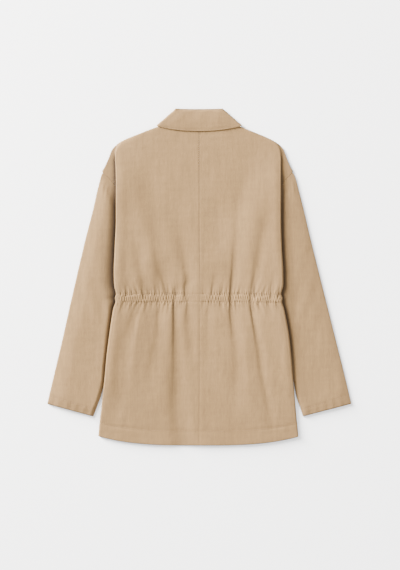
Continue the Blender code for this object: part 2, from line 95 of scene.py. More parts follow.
FOLD_CORNER = (52.3, 378.9)
COLLAR_TIP = (95.8, 340.9)
COLLAR_POINT = (62.0, 222.0)
FOLD_FRONT = (12.0, 262.0)
STAND_FRONT = (14.0, 259.0)
FALL_TOP_DIP = 1.8
FALL_CENTRE = 326.8
COLLAR_HEIGHT = 8.8
COLLAR_WALL = 1.6
NECK_SHOULDER = (81.0, 343.0)
NECK_FRONT = (45.0, 250.0)
NECK_CLOSING = 238.0
NECK_CENTRE_BACK = 334.0
FRONT_OVERLAP = 15.0
SIDE_SEAM_STEP = 1.6
LEFT_SHOULDER_END = 218.7
RIGHT_SHOULDER_END = 211.2
RIGHT_SHOULDER_STRETCH = (LEFT_SHOULDER_END - NECK_SHOULDER[0]) / (RIGHT_SHOULDER_END - NECK_SHOULDER[0])

CAMERA_LENS = 85.0
CAMERA_SENSOR = 36.0
FRAME_ROWS = 570
FRAME_POINT = 2.25
VIEW_HEIGHT = FRAME_ROWS * FRAME_POINT
VIEW_CENTRE = (1.8, -18.9)
CLOTH_PLANE = 6.0


class Side(Enum):
    """A half of the coat, as the camera sees it."""

    LEFT = -1
    RIGHT = 1

    @property
    def label(self) -> str:
        """The half's word in piece names and table columns."""
        return self.name.lower()


class Row(NamedTuple):
    """Where the side of the back lies at one height up the body.

    Attributes:
        y: The height up the body, at the side.
        left: How far out the left fold reaches.
        right: How far out the right fold reaches.
        tuck: How deep the pleat goes back in from the fold.
        end: How far out the layer under the pleat ends, away from the armhole.
        drop: How much the row follows the shoulder line, from 0 to 1.
        level: How much the sleeve raises the side, from 0 to 1.
    """

    y: float
    left: float
    right: float
    tuck: float
    end: float
    drop: float
    level: float


BACK_ROWS = (
    Row(290.0, 176.0, 173.0, -10.0, 193.0, 1.00, 0.00),
    Row(284.0, 183.5, 179.5, -5.0, 197.0, 0.97, 0.05),
    Row(276.0, 187.5, 182.6, -3.5, 200.3, 0.92, 0.12),
    Row(262.0, 189.5, 184.3, 2.0, 205.8, 0.84, 0.26),
    Row(246.0, 188.3, 184.1, 10.0, 213.5, 0.75, 0.45),
    Row(235.4, 187.9, 184.1, 15.0, 218.4, 0.69, 0.58),
    Row(226.4, 187.6, 184.1, 17.0, 207.2, 0.64, 0.70),
    Row(217.4, 187.3, 184.1, 20.0, 198.2, 0.59, 0.80),
    Row(201.6, 187.2, 184.1, 27.0, 188.0, 0.50, 0.92),
    Row(178.0, 187.2, 184.1, 39.0, 175.7, 0.36, 1.00),
    Row(150.0, 187.2, 184.1, 55.0, 158.7, 0.20, 1.00),
    Row(115.0, 187.3, 184.2, 74.0, 135.7, 0.00, 1.00),
    Row(82.0, 189.0, 185.0, 90.0, 111.7, 0.00, 1.00),
    Row(64.0, 189.8, 185.7, 92.0, 99.2, 0.00, 1.00),
    Row(48.0, 190.6, 186.8, 0.0, 98.5, 0.00, 1.00),
    Row(25.0, 191.7, 188.4, 0.0, 111.0, 0.00, 1.00),
    Row(0.0, 191.9, 189.2, 0.0, 128.0, 0.00, 1.00),
    Row(-22.0, 190.6, 188.6, 0.0, 146.0, 0.00, 1.00),
    Row(-39.0, 186.9, 184.2, 0.0, 157.0, 0.00, 1.00),
    Row(-48.0, 189.3, 187.3, 0.0, 160.5, 0.00, 1.00),
    Row(-57.0, 188.2, 186.2, 0.0, 164.0, 0.00, 1.00),
    Row(-72.0, 193.0, 190.8, 0.0, 168.3, 0.00, 1.00),
    Row(-95.0, 197.0, 195.6, 0.0, 175.0, 0.00, 1.00),
    Row(-130.0, 202.0, 201.8, 0.0, 181.0, 0.00, 1.00),
    Row(-175.0, 207.8, 206.6, 0.0, 188.0, 0.00, 1.00),
    Row(-225.0, 212.6, 210.8, 0.0, 194.0, 0.00, 0.85),
    Row(-275.0, 218.2, 215.6, 0.0, 199.0, 0.00, 0.40),
    Row(-320.0, 223.6, 219.8, 0.0, 203.0, 0.00, 0.05),
    Row(-345.0, 226.0, 222.4, 0.0, 205.6, 0.00, 0.00),
    Row(-357.8, 227.0, 223.2, 0.0, 207.0, 0.00, 0.00),
)
TOP_ROW, HEM_ROW = BACK_ROWS[0].y, BACK_ROWS[-1].y
UNDERARM = 60.0
ARMHOLE_TOP = 235.0


class Lift(NamedTuple):
    """How far out the back is fully raised by the sleeve under it."""

    y: float
    full: float


LIFTS = (
    Lift(-358, 210), Lift(-250, 206), Lift(-150, 190), Lift(-60, 165), Lift(0, 142),
    Lift(60, 116), Lift(115, 128), Lift(178, 158), Lift(235, 176), Lift(290, 184),
)
LIFT_WIDTH = 74.0


class Shoulder(NamedTuple):
    """A point of the left shoulder line."""

    out: float
    y: float


SHOULDER_LINE = (
    Shoulder(81, 343), Shoulder(101, 335.6), Shoulder(133, 323.3), Shoulder(156, 314.3),
    Shoulder(178, 303.5), Shoulder(189.5, 294.5), Shoulder(197.3, 284.9),
    Shoulder(206.3, 262.4), Shoulder(218.7, 235.4),
)


class Edge(NamedTuple):
    """A point of a line that runs down both halves."""

    left: float
    right: float
    y: float


ARMHOLE = (
    Edge(218.7, 211.0, 235.0), Edge(207.5, 204.0, 226.4), Edge(198.5, 193.5, 217.4),
    Edge(188.3, 184.0, 201.6), Edge(165.0, 165.0, 162.0), Edge(138.0, 138.0, 118.0),
    Edge(112.0, 112.0, 82.0), Edge(97.0, 97.0, 60.0),
)
SLEEVE_OUTER = (
    Edge(342.5, 342.9, -286.4), Edge(329.9, 330.3, -232.7), Edge(308.7, 307.8, -142.7),
    Edge(288.5, 285.3, -52.7), Edge(257.0, 251.6, 82.4), Edge(239.6, 235.8, 149.9),
    Edge(229.5, 224.3, 194.9), Edge(222.8, 217.8, 220.0), Edge(218.7, 211.6, 235.4),
)
SLEEVE_INNER = (
    Edge(238.5, 233.6, -314.8), Edge(232.2, 229.0, -299.2), Edge(221.4, 218.8, -268.7),
    Edge(211.9, 212.0, -233.0), Edge(191.0, 192.0, -150.0), Edge(162.0, 163.0, -60.0),
    Edge(130.0, 131.0, 15.0), Edge(101.5, 101.5, 66.0),
)
GAP_WIDTHS = (
    Edge(2.5, 1.2, 285.0), Edge(4.5, 1.5, 262.0), Edge(6.5, 2.2, 240.0), Edge(8.5, 8.0, 205.0),
    Edge(11.0, 10.5, 170.0), Edge(15.0, 12.5, 82.0), Edge(17.0, 12.0, 0.0), Edge(16.0, 13.5, -45.0),
    Edge(8.0, 10.5, -75.0), Edge(5.5, 9.5, -120.0), Edge(3.2, 7.5, -187.0), Edge(2.5, 4.0, -262.0),
)
CENTRE_SEAM = (
    Edge(1.4, -1.4, -379), Edge(-0.8, 0.8, -200), Edge(-1.6, 1.6, -40),
    Edge(0.3, -0.3, 100), Edge(0.5, -0.5, 340),
)


def smooth(value: Numbers) -> Numbers:
    """An easy rise from 0 to 1.

    Args:
        value: A number or an array.

    Returns:
        The eased value.
    """
    value = np.clip(value, 0.0, 1.0)
    return value * value * (3.0 - 2.0 * value)


def mix(start: Numbers | tuple, end: Numbers | tuple, share: Numbers) -> Numbers | tuple:
    """A point or number between two others.

    Args:
        start: The value at 0.
        end: The value at 1.
        share: How far along.

    Returns:
        A tuple for tuples, otherwise a number or an array.
    """
    if isinstance(start, tuple):
        return tuple(a + (b - a) * share for a, b in zip(start, end))
    return start + (end - start) * share


def bell(distance: Numbers, width: Numbers) -> Numbers:
    """A soft bump of height 1.

    Args:
        distance: How far from its middle.
        width: How far out it has mostly gone.

    Returns:
        Its height.
    """
    return np.exp(-((distance / width) ** 2))


class Curve:
    """A smooth curve through two columns of a table."""

    def __init__(self, rows: Sequence[NamedTuple], key: str, value: str) -> None:
        """Take the curve's points from a table.

        Args:
            rows: The table.
            key: The column that says where.
            value: The column that says how much.
        """
        pairs = sorted((float(getattr(row, key)), float(getattr(row, value))) for row in rows)
        self.keys = np.array([pair[0] for pair in pairs])
        self.values = np.array([pair[1] for pair in pairs])
        low = np.maximum(np.arange(len(pairs)) - 1, 0)
        high = np.minimum(np.arange(len(pairs)) + 1, len(pairs) - 1)
        self.slopes = (self.values[high] - self.values[low]) / (self.keys[high] - self.keys[low])

    def at(self, where: Numbers) -> Numbers:
        """The curve's value.

        Args:
            where: A number or an array in the key column.

        Returns:
            The value or values there, held at the table's ends.
        """
        where = np.clip(where, self.keys[0], self.keys[-1])
        slot = np.clip(np.searchsorted(self.keys, where) - 1, 0, len(self.keys) - 2)
        span = self.keys[slot + 1] - self.keys[slot]
        t = (where - self.keys[slot]) / span
        return (self.values[slot] * (1 + 2 * t) * (1 - t) ** 2 + self.slopes[slot] * span * t * (1 - t) ** 2
                + self.values[slot + 1] * t * t * (3 - 2 * t)
                + self.slopes[slot + 1] * span * t * t * (t - 1))

    def one(self, where: float) -> float:
        """The curve's value at one place, as a plain number."""
        return float(self.at(where))


FOLD_OUT, ARMHOLE_OUT, OUTER_OUT, INNER_OUT, SEAM_OUT, GAP_WIDTH = (
    {side: Curve(table, "y", side.label) for side in Side}
    for table in (BACK_ROWS, ARMHOLE, SLEEVE_OUTER, SLEEVE_INNER, CENTRE_SEAM, GAP_WIDTHS)
)
ROW_CURVES = {name: Curve(BACK_ROWS, "y", name) for name in ("tuck", "end", "drop", "level")}
SHOULDER_Y = Curve(SHOULDER_LINE, "out", "y")
LIFT_FULL = Curve(LIFTS, "y", "full")


class Bend(NamedTuple):
    """A point of a fold's path."""

    x: float
    y: float


# How much wider than the fold its right flank is, and where a bell is steepest, in widths.
TROUGH_RIGHT = 2.1
RIDGE_RIGHT = 3.6
STEEPEST = 0.707
# A fold longer than this is shallower where the casing holds it.
LONG_FOLD = 60.0


@dataclass
class Fold:
    """A trough or ridge of the gathered back.

    Attributes:
        line: How strong its sharp line is at the casing, pressed in and with painted shade, from 0 to 1.
        depth: How far it is pressed in, or less than 0 for a ridge.
        width: How wide it is where it leaves the casing.
        path: Its points (x, y), from the casing away.
        spread: How many times wider it is at its far end.
        lasts: How much of its depth is left at its far end.
        reach: How far from the casing its sharp line runs.
    """

    line: float
    depth: float
    width: float
    path: Sequence[Point]
    spread: float = 1.5
    lasts: float = 0.1
    reach: float = 14.0

    def __post_init__(self) -> None:
        """Work out the fold's ends and the curve along its middle."""
        self.first, self.last = self.path[0][1], self.path[-1][1]
        self.centre = Curve([Bend(*point) for point in self.path], "y", "x")

    def off(self, y: Numbers) -> bool:
        """Whether a row is clear of the fold.

        Args:
            y: Heights up the body.

        Returns:
            True if it changes nothing there.
        """
        low, high = sorted((self.first, self.last))
        margin = 12.0 + 0.15 * (high - low)
        return bool(np.max(y) < low - margin or np.min(y) > high + margin)

    def press(self, x: Numbers, y: Numbers) -> Numbers:
        """How far the fold presses the cloth in, steeply on its left and gently on its right.

        Args:
            x: Places along +X.
            y: Heights up the body.

        Returns:
            The depth at each place.
        """
        run = (y - self.first) / (self.last - self.first)
        width = self.width * mix(1.05, self.spread, np.clip(run, 0.0, 1.0) ** 0.8)
        begins, ends = smooth(1.0 + run * 12.0), smooth((1.12 - run) / 0.3)
        fade = mix(1.0, self.lasts, smooth(run)) * ends * begins
        if self.depth < 0.0:
            fade = fade * smooth((run + 0.02) * 5.0)
        elif abs(self.last - self.first) > LONG_FOLD:
            fade = fade * mix(0.5, 1.0, smooth(np.abs(y - self.first) / 30.0))
        left = mix(0.85, 1.45, smooth(run * 2.5))
        right = TROUGH_RIGHT if self.depth > 0.0 else RIDGE_RIGHT
        away = x - self.centre.at(y) - STEEPEST * left * width
        broad = bell(away, np.where(away < 0.0, left, right) * width)
        return self.depth * fade * broad + self.sharp(x, y)

    def sharp(self, x: Numbers, y: Numbers) -> Numbers:
        """The sharp line of the fold.

        Args:
            x: Places along +X.
            y: Heights up the body.

        Returns:
            Its strength at each place, from 0 to 1.
        """
        toward = 1.0 if self.last > self.first else -1.0
        run = (y - self.first) * toward
        fade = np.exp(-(np.maximum(run, 0.0) / self.reach) ** 1.5) * smooth(1.0 + run / 4.0)
        width = mix(1.7, 2.3, np.clip(run / 90.0, 0.0, 1.0))
        return self.line * fade * bell(x - self.centre.at(y), width)


# The long folds and the short gathers from left to right, then the ridges and the slow rise and fall between.
FOLDS_ABOVE = (
    Fold(0.75, 2.9, 5.0, spread=2.4, lasts=0.2, reach=26, path=(
        (-33, -43), (-33, -21), (-30, -8), (-33, 10), (-39, 37), (-45, 71), (-55, 116), (-68, 180))),
    Fold(0.95, 1.1, 3.2, ((-53, -42), (-55, -6)), reach=18),
    Fold(0.85, 2.1, 5.8, spread=2.2, lasts=0.45, reach=18, path=(
        (-73, -40), (-79, -19), (-88, -1), (-95, 19), (-101, 46), (-107, 82), (-117, 127), (-127, 172),
        (-135, 215))),
    Fold(0.22, 0.9, 3.2, ((-99, -40), (-99, 8))),
    Fold(0.95, 3.0, 5.0, spread=2.0, lasts=0.2, reach=12, path=(
        (-127, -43), (-131, -12), (-138, 15), (-144, 48), (-149, 75), (-156, 112))),
    Fold(0.55, 0.9, 3.0, ((-114, -40), (-116, -14))),
    Fold(0.30, 0.9, 3.0, ((-141, -39), (-143, -12))),
    Fold(0.55, 1.0, 3.2, ((-152, -41), (-152, -12))),
    Fold(0.65, 1.2, 3.5, ((-165, -42), (-164, 0)), reach=18),
    Fold(0.30, 0.8, 3.0, ((-177, -40), (-180, -10))),
    Fold(0.10, 0.7, 3.5, ((8, -40), (6, -4))),
    Fold(0.60, 1.3, 3.2, ((27, -42), (31, -12), (33, 12), (29, 32)), reach=24),
    Fold(0.45, 0.8, 3.0, ((47, -41), (47, -10))),
    Fold(0.95, 2.7, 4.6, spread=2.1, lasts=0.3, reach=80, path=(
        (69, -50), (69, -39), (71, -14), (74, 15), (76, 48), (78, 82), (79, 127), (82, 172), (84, 217))),
    Fold(0.50, 0.8, 3.0, ((88, -41), (94, 0))),
    Fold(0.45, 2.7, 4.4, spread=1.9, lasts=0.5, reach=30, path=(
        (114, -42), (119, -17), (122, 4), (126, 33), (130, 60), (134, 84), (141, 132))),
    Fold(1.0, 1.2, 3.2, ((125, -46), (125, -8)), reach=20),
    Fold(0.45, 0.8, 3.0, ((141, -44), (141, -14))),
    Fold(0.95, 1.3, 3.8, ((160, -46), (162, -12), (164, 20)), reach=20),
    Fold(0.85, 1.0, 3.2, ((177, -45), (182, -18)), reach=20),
    Fold(0.0, -0.6, 12.0, spread=1.3, lasts=0.6, path=(
        (-60, 15), (-77, 82), (-93, 150), (-106, 206), (-115, 240))),
    Fold(0.0, -0.4, 10.0, ((-122, 0), (-133, 82), (-142, 130), (-150, 190)), spread=1.3, lasts=0.3),
    Fold(0.0, -0.6, 12.0, ((45, 10), (45, 82), (45, 172), (46, 220)), spread=1.4, lasts=0.4),
    Fold(0.0, -0.2, 11.0, ((99, 10), (101, 105), (105, 172), (112, 220)), spread=1.3, lasts=0.4),
    Fold(0.0, 1.0, 14.0, ((22, 45), (22, 110), (22, 175)), spread=1.2, lasts=0.5),
)
FOLDS_BELOW = (
    Fold(0.25, 1.0, 3.2, ((-172, -57), (-183, -95)), reach=18),
    Fold(0.45, 0.5, 5.5, spread=1.6, lasts=0.05, reach=20, path=(
        (-150, -57), (-152, -77), (-158, -103), (-169, -131), (-183, -188), (-192, -244), (-199, -300))),
    Fold(0.25, 0.8, 3.0, ((-139, -57), (-140, -84))),
    Fold(0.30, 1.0, 3.2, ((-121, -57), (-121, -96)), reach=18),
    Fold(0.30, 0.8, 3.0, ((-108, -57), (-108, -80))),
    Fold(0.50, 1.2, 4.5, spread=2.2, lasts=0.3, reach=20, path=(
        (-93, -55), (-95, -87), (-99, -131), (-111, -188), (-122, -233), (-129, -290))),
    Fold(0.25, 0.7, 3.0, ((-75, -57), (-75, -78))),
    Fold(0.95, 2.9, 4.2, spread=3.2, lasts=1.4, reach=110, path=(
        (-58, -53), (-58, -143), (-58, -188), (-59, -240), (-60, -285), (-57, -322), (-52, -372),
        (-49, -480))),
    Fold(0.30, 0.7, 3.0, ((-41, -57), (-41, -74))),
    Fold(0.40, 1.9, 4.4, spread=1.8, lasts=0.6, reach=30, path=(
        (-27, -55), (-29, -86), (-30, -120), (-27, -154), (-31, -184))),
    Fold(0.15, 0.7, 3.0, ((7, -57), (6, -74))),
    Fold(0.30, 1.0, 4.4, spread=1.7, lasts=0.2, reach=20, path=(
        (22, -57), (17, -84), (14, -112), (14, -170), (15, -225))),
    Fold(0.30, 0.8, 3.0, ((46, -57), (45, -82)), reach=16),
    Fold(0.90, 2.6, 4.4, spread=2.3, lasts=0.25, reach=48, path=(
        (69, -54), (69, -80), (72, -112), (76, -154), (78, -199), (74, -244), (72, -300), (77, -340))),
    Fold(0.60, 0.9, 3.2, ((82, -56), (84, -90)), reach=16),
    Fold(0.95, 2.5, 4.2, spread=1.4, lasts=0.45, reach=75, path=(
        (114, -54), (117, -80), (123, -120), (129, -158), (137, -221), (146, -266), (155, -311),
        (160, -345))),
    Fold(0.35, 0.9, 3.2, ((132, -57), (134, -90))),
    Fold(0.35, 1.1, 3.6, ((152, -57), (157, -98)), reach=18),
    Fold(0.60, 0.9, 3.2, ((172, -58), (178, -88)), reach=16),
    Fold(0.0, -2.4, 6.0, spread=1.7, lasts=0.5, path=(
        (-133, -60), (-140, -109), (-149, -154), (-156, -210), (-162, -255), (-170, -292), (-180, -330))),
    Fold(0.0, -0.5, 8.0, spread=1.5, lasts=0.3, path=(
        (-160, -62), (-178, -109), (-190, -143), (-197, -180))),
    Fold(0.0, -1.7, 9.0, spread=1.6, lasts=0.3, path=(
        (-77, -62), (-79, -143), (-88, -210), (-94, -262), (-98, -310))),
    Fold(0.0, -1.0, 12.0, ((20, -64), (27, -143), (33, -233), (36, -300)), spread=1.4, lasts=0.4),
    Fold(0.0, -1.6, 10.0, ((92, -70), (95, -120), (99, -233), (103, -322)), spread=1.7, lasts=0.5),
)
DEEPEST = 4.4
# How strong the painted shade in the gap beside the body's fold is, on each half.
GAP_SHADE = {Side.LEFT: 1.0, Side.RIGHT: 0.80}
CASING_PUFF = 0.9
SKIRT_PUFF = 2.6
LOOSENESS = 0.45
STITCH_GROOVE = 0.45
SEAM_RIDGE = 0.2
# Radii of the pleat's two turns, as shares of the step from the top layer to the one below.
OUTER_TURN = 0.30
INNER_TURN = 0.17


def hem_y(out: Numbers) -> Numbers:
    """The hem line, lowest at the centre.

    Args:
        out: Distances from the centre back.

    Returns:
        The height of the line up the body.
    """
    return HEM_CENTRE + HEM_RISE * (np.minimum(np.abs(out), HEM_REACH) / HEM_REACH) ** HEM_POWER


def hem_share(y: float) -> float:
    """How much a row follows the curve of the hem.

    Args:
        y: The row's height up the body, at the side.

    Returns:
        0 well above the hem, 1 at it.
    """
    return min(max((y - HEM_BEND_TOP) / (HEM_ROW - HEM_BEND_TOP), 0.0), 1.0)


def on_left_shoulder(side: Side, out: Numbers) -> Numbers:
    """The place on the left shoulder line that a place on either half answers to.

    Args:
        side: The half.
        out: Distances from the centre back.

    Returns:
        The distances on the left half.
    """
    neck_out = NECK_SHOULDER[0]
    if side is Side.LEFT:
        return out
    return np.where(out < neck_out, out, neck_out + (out - neck_out) * RIGHT_SHOULDER_STRETCH)


def back_top_y(side: Side, out: Numbers) -> Numbers:
    """The neck seam of the back, then the shoulder line as far as the side pleat.

    Args:
        side: The half.
        out: Distances from the centre back.

    Returns:
        The height of the back's top edge.
    """
    neck_out, neck_y = NECK_SHOULDER
    neck = NECK_CENTRE_BACK + (neck_y - NECK_CENTRE_BACK) * (out / neck_out) ** 2
    shoulder = SHOULDER_Y.at(np.minimum(on_left_shoulder(side, out), BACK_ROWS[0].end))
    return np.where(out < neck_out, neck, shoulder)


def front_top_y(side: Side, out: Numbers) -> Numbers:
    """The neck seam of a front, then the shoulder line.

    Args:
        side: The half.
        out: Distances from the centre back.

    Returns:
        The height of the front's top edge.
    """
    neck_out, neck_y = NECK_FRONT
    first = mix(NECK_CLOSING, neck_y, (out + FRONT_OVERLAP) / (neck_out + FRONT_OVERLAP))
    second = mix(neck_y, NECK_SHOULDER[1], (out - neck_out) / (NECK_SHOULDER[0] - neck_out))
    shoulder = SHOULDER_Y.at(on_left_shoulder(side, out))
    return np.where(out < neck_out, first, np.where(out < NECK_SHOULDER[0], second, shoulder))


def gather_depth(x: Numbers, y: Numbers) -> Numbers:
    """How far the gathers press the back in.

    Args:
        x: Places along +X.
        y: Heights up the body.

    Returns:
        The depth at each place, never more than DEEPEST.
    """
    near = (fold for fold in FOLDS_ABOVE + FOLDS_BELOW if not fold.off(y))
    depth = sum((fold.press(x, y) for fold in near), 0.0 * x)
    return DEEPEST * np.tanh(depth / DEEPEST)


def sharp_lines(x: Numbers, y: Numbers) -> Numbers:
    """The sharp lines where the gathers leave the casing, which get painted shade.

    Args:
        x: Places along +X.
        y: Heights up the body.

    Returns:
        Their strength at each place.
    """
    near = (fold for fold in FOLDS_ABOVE + FOLDS_BELOW if fold.line and not fold.off(y))
    return sum((fold.sharp(x, y) for fold in near), 0.0 * x)


@dataclass(frozen=True)
class Ruches:
    """The small upright folds at the casing, where its cord draws the cloth up.

    Attributes:
        period: Distance from one fine fold to the next.
        height: Height of the fine folds.
        slant: How far the fine folds lean across the casing, in radians.
        fan_period: Distance from one broad fold to the next, beside the casing.
        fan_height: Height of the broad folds.
        calm_x: Where the cloth is calmest, beside the centre seam.
        calm: How much of the height is left there.
    """

    period: float = 5.6
    height: float = 0.54
    slant: float = 2.6
    fan_period: float = 10.4
    fan_height: float = 0.7
    calm_x: float = -8.0
    calm: float = 0.15

    def fine(self, x: Numbers, y: Numbers, outside: Numbers) -> Numbers:
        """Height of the fine folds, two waves that cross inside the casing.

        Args:
            x: Places along +X.
            y: Heights up the body.
            outside: Distances from the casing.

        Returns:
            The height at each place.
        """
        slant = self.slant * np.clip((y - CASING_MIDDLE) / 9.0, -1.3, 1.3)
        phase = 2 * math.pi * x / self.period + 1.1 * np.sin(x / 8.3) + 1.2 * np.sin(x / 21.0 + 1.0)
        uneven = 0.7 + 0.4 * np.sin(x / 5.1 + 0.6) * np.sin(x / 13.7 + y / 6.0)
        crossing = np.sin(phase + slant) + 0.8 * np.sin(phase - slant + 1.4 * np.sin(x / 12.0))
        return self.height * np.exp(-outside / 4.0) * uneven * crossing

    def fan(self, x: Numbers, y: Numbers, outside: Numbers) -> Numbers:
        """Height of the broad folds, which fan out from the casing.

        Args:
            x: Places along +X.
            y: Heights up the body.
            outside: Distances from the casing.

        Returns:
            The height at each place.
        """
        phase = 2 * math.pi * x / self.fan_period * (1.0 - 0.0022 * outside)
        phase = phase + 1.2 * np.sin(x / 14.0 + 0.3 * np.sign(y - CASING_MIDDLE))
        fade = np.exp(-outside / 13.0) * smooth(outside / 5.0)
        return self.fan_height * fade * (0.7 + 0.4 * np.sin(x / 11.0 + 2.0)) * np.sin(phase)

    def rise(self, x: Numbers, y: Numbers) -> Numbers:
        """Height of all the small folds.

        Args:
            x: Places along +X.
            y: Heights up the body.

        Returns:
            The height at each place, from below 0 to above.
        """
        outside = np.maximum(np.abs(y - CASING_MIDDLE) - (CASING_TOP - CASING_MIDDLE), 0.0)
        busy = self.calm + (1.0 - self.calm) * smooth((np.abs(x - self.calm_x) - 10.0) / 34.0)
        return busy * (self.fine(x, y, outside) + self.fan(x, y, outside))


RUCHES = Ruches()


def stitch_lines(x: Numbers, y: Numbers, out: Numbers) -> Numbers:
    """How near a place is to a row of topstitching on the back.

    Args:
        x: Places along +X.
        y: Heights up the body.
        out: Distances from the centre back.

    Returns:
        1 on a row of the casing and HEM_LINE_DEPTH on the hem's, falling to 0 beside them.
    """
    top, foot = (bell(y - casing_line(x, edge), CASING_LINE_WIDTH) for edge in (CASING_TOP, CASING_FOOT))
    return top + foot + HEM_LINE_DEPTH * bell(y - hem_y(out) - HEM_DEPTH, HEM_LINE_WIDTH)


def casing_line(x: Numbers, y: Numbers) -> Numbers:
    """A stitched edge of the casing, a little lower at the right.

    Args:
        x: Places along +X.
        y: The edge's height at the centre.

    Returns:
        Its height at each place.
    """
    return y - CASING_DIP * smooth((x - 90.0) / 70.0)


def gap_painted_shade(y: Numbers) -> Numbers:
    """How strong the painted shade in the gap beside the body's fold is.

    Args:
        y: Heights up the body.

    Returns:
        1 for most of its length, 0 at the shoulder and where the gap has closed.
    """
    return smooth((y + 290.0) / 50.0) * smooth((290.0 - y) / 30.0)


def fall_line(x: Numbers) -> Numbers:
    """Where the collar fall's lower edge lies on the back.

    Args:
        x: Places along +X.

    Returns:
        The edge's height up the body.
    """
    reach = COLLAR_TIP[0] - 3.0
    return mix(COLLAR_TIP[1] - 3.3, FALL_CENTRE, 1.0 - np.minimum(np.abs(x) / reach, 1.0) ** 2.2)


def lift(out: Numbers, y: Numbers) -> Numbers:
    """How far the body is raised by the sleeve that lies under its side.

    Args:
        out: Distances from the centre back.
        y: Heights up the body.

    Returns:
        0 where the body lies on the fronts only, 1 over the sleeve.
    """
    return smooth((out - LIFT_FULL.at(y) + LIFT_WIDTH) / LIFT_WIDTH)


def rest_height(side: Side, out: Numbers, y: Numbers) -> Numbers:
    """Lowest point of what lies on the sleeve's inner part.

    Args:
        side: The half.
        out: Distances from the centre back.
        y: Heights up the body.

    Returns:
        The height of that point.
    """
    return UNDERSIDE_OVER_SLEEVE * smooth((out - INNER_OUT[side].at(y) + SLEEVE_RAMP + 2.0) / SLEEVE_RAMP)


def loose(x: Numbers, y: Numbers) -> Numbers:
    """Slow unevenness of cloth that was laid down by hand.

    Args:
        x: Places along +X.
        y: Heights up the body.

    Returns:
        A height from about -1 to 1.
    """
    return (0.5 * np.sin(x / 31.0 + 1.3 * np.sin(y / 47.0)) * np.sin(y / 38.0 + 0.7)
            + 0.3 * np.sin(x / 17.0 - y / 23.0 + 2.0) + 0.2 * np.sin(x / 11.0 + y / 14.0))


@dataclass(frozen=True)
class Shade:
    """How much painted shade each part of the back's cloth gets, from 0 to 1.

    Attributes:
        trough: The deepest troughs, away from the casing.
        trough_at_casing: The deepest troughs where the casing draws the cloth up.
        line: The sharp lines of the gathers.
        ruche: The painted highlight that makes the tops of the small folds lighter than the cloth between
            them.
        stitch: The rows of topstitching.
        seam_below: The centre seam below the waist.
        seam_above: The centre seam above it.
        under_fall: Beside the edge of the collar's fall.
        hidden: The layer inside the fold.
    """

    trough: float = 0.07
    trough_at_casing: float = 0.22
    line: float = 0.64
    ruche: float = 0.09
    stitch: float = 0.05
    seam_below: float = 0.24
    seam_above: float = 0.42
    under_fall: float = 0.55
    hidden: float = 0.45


SHADE = Shade()


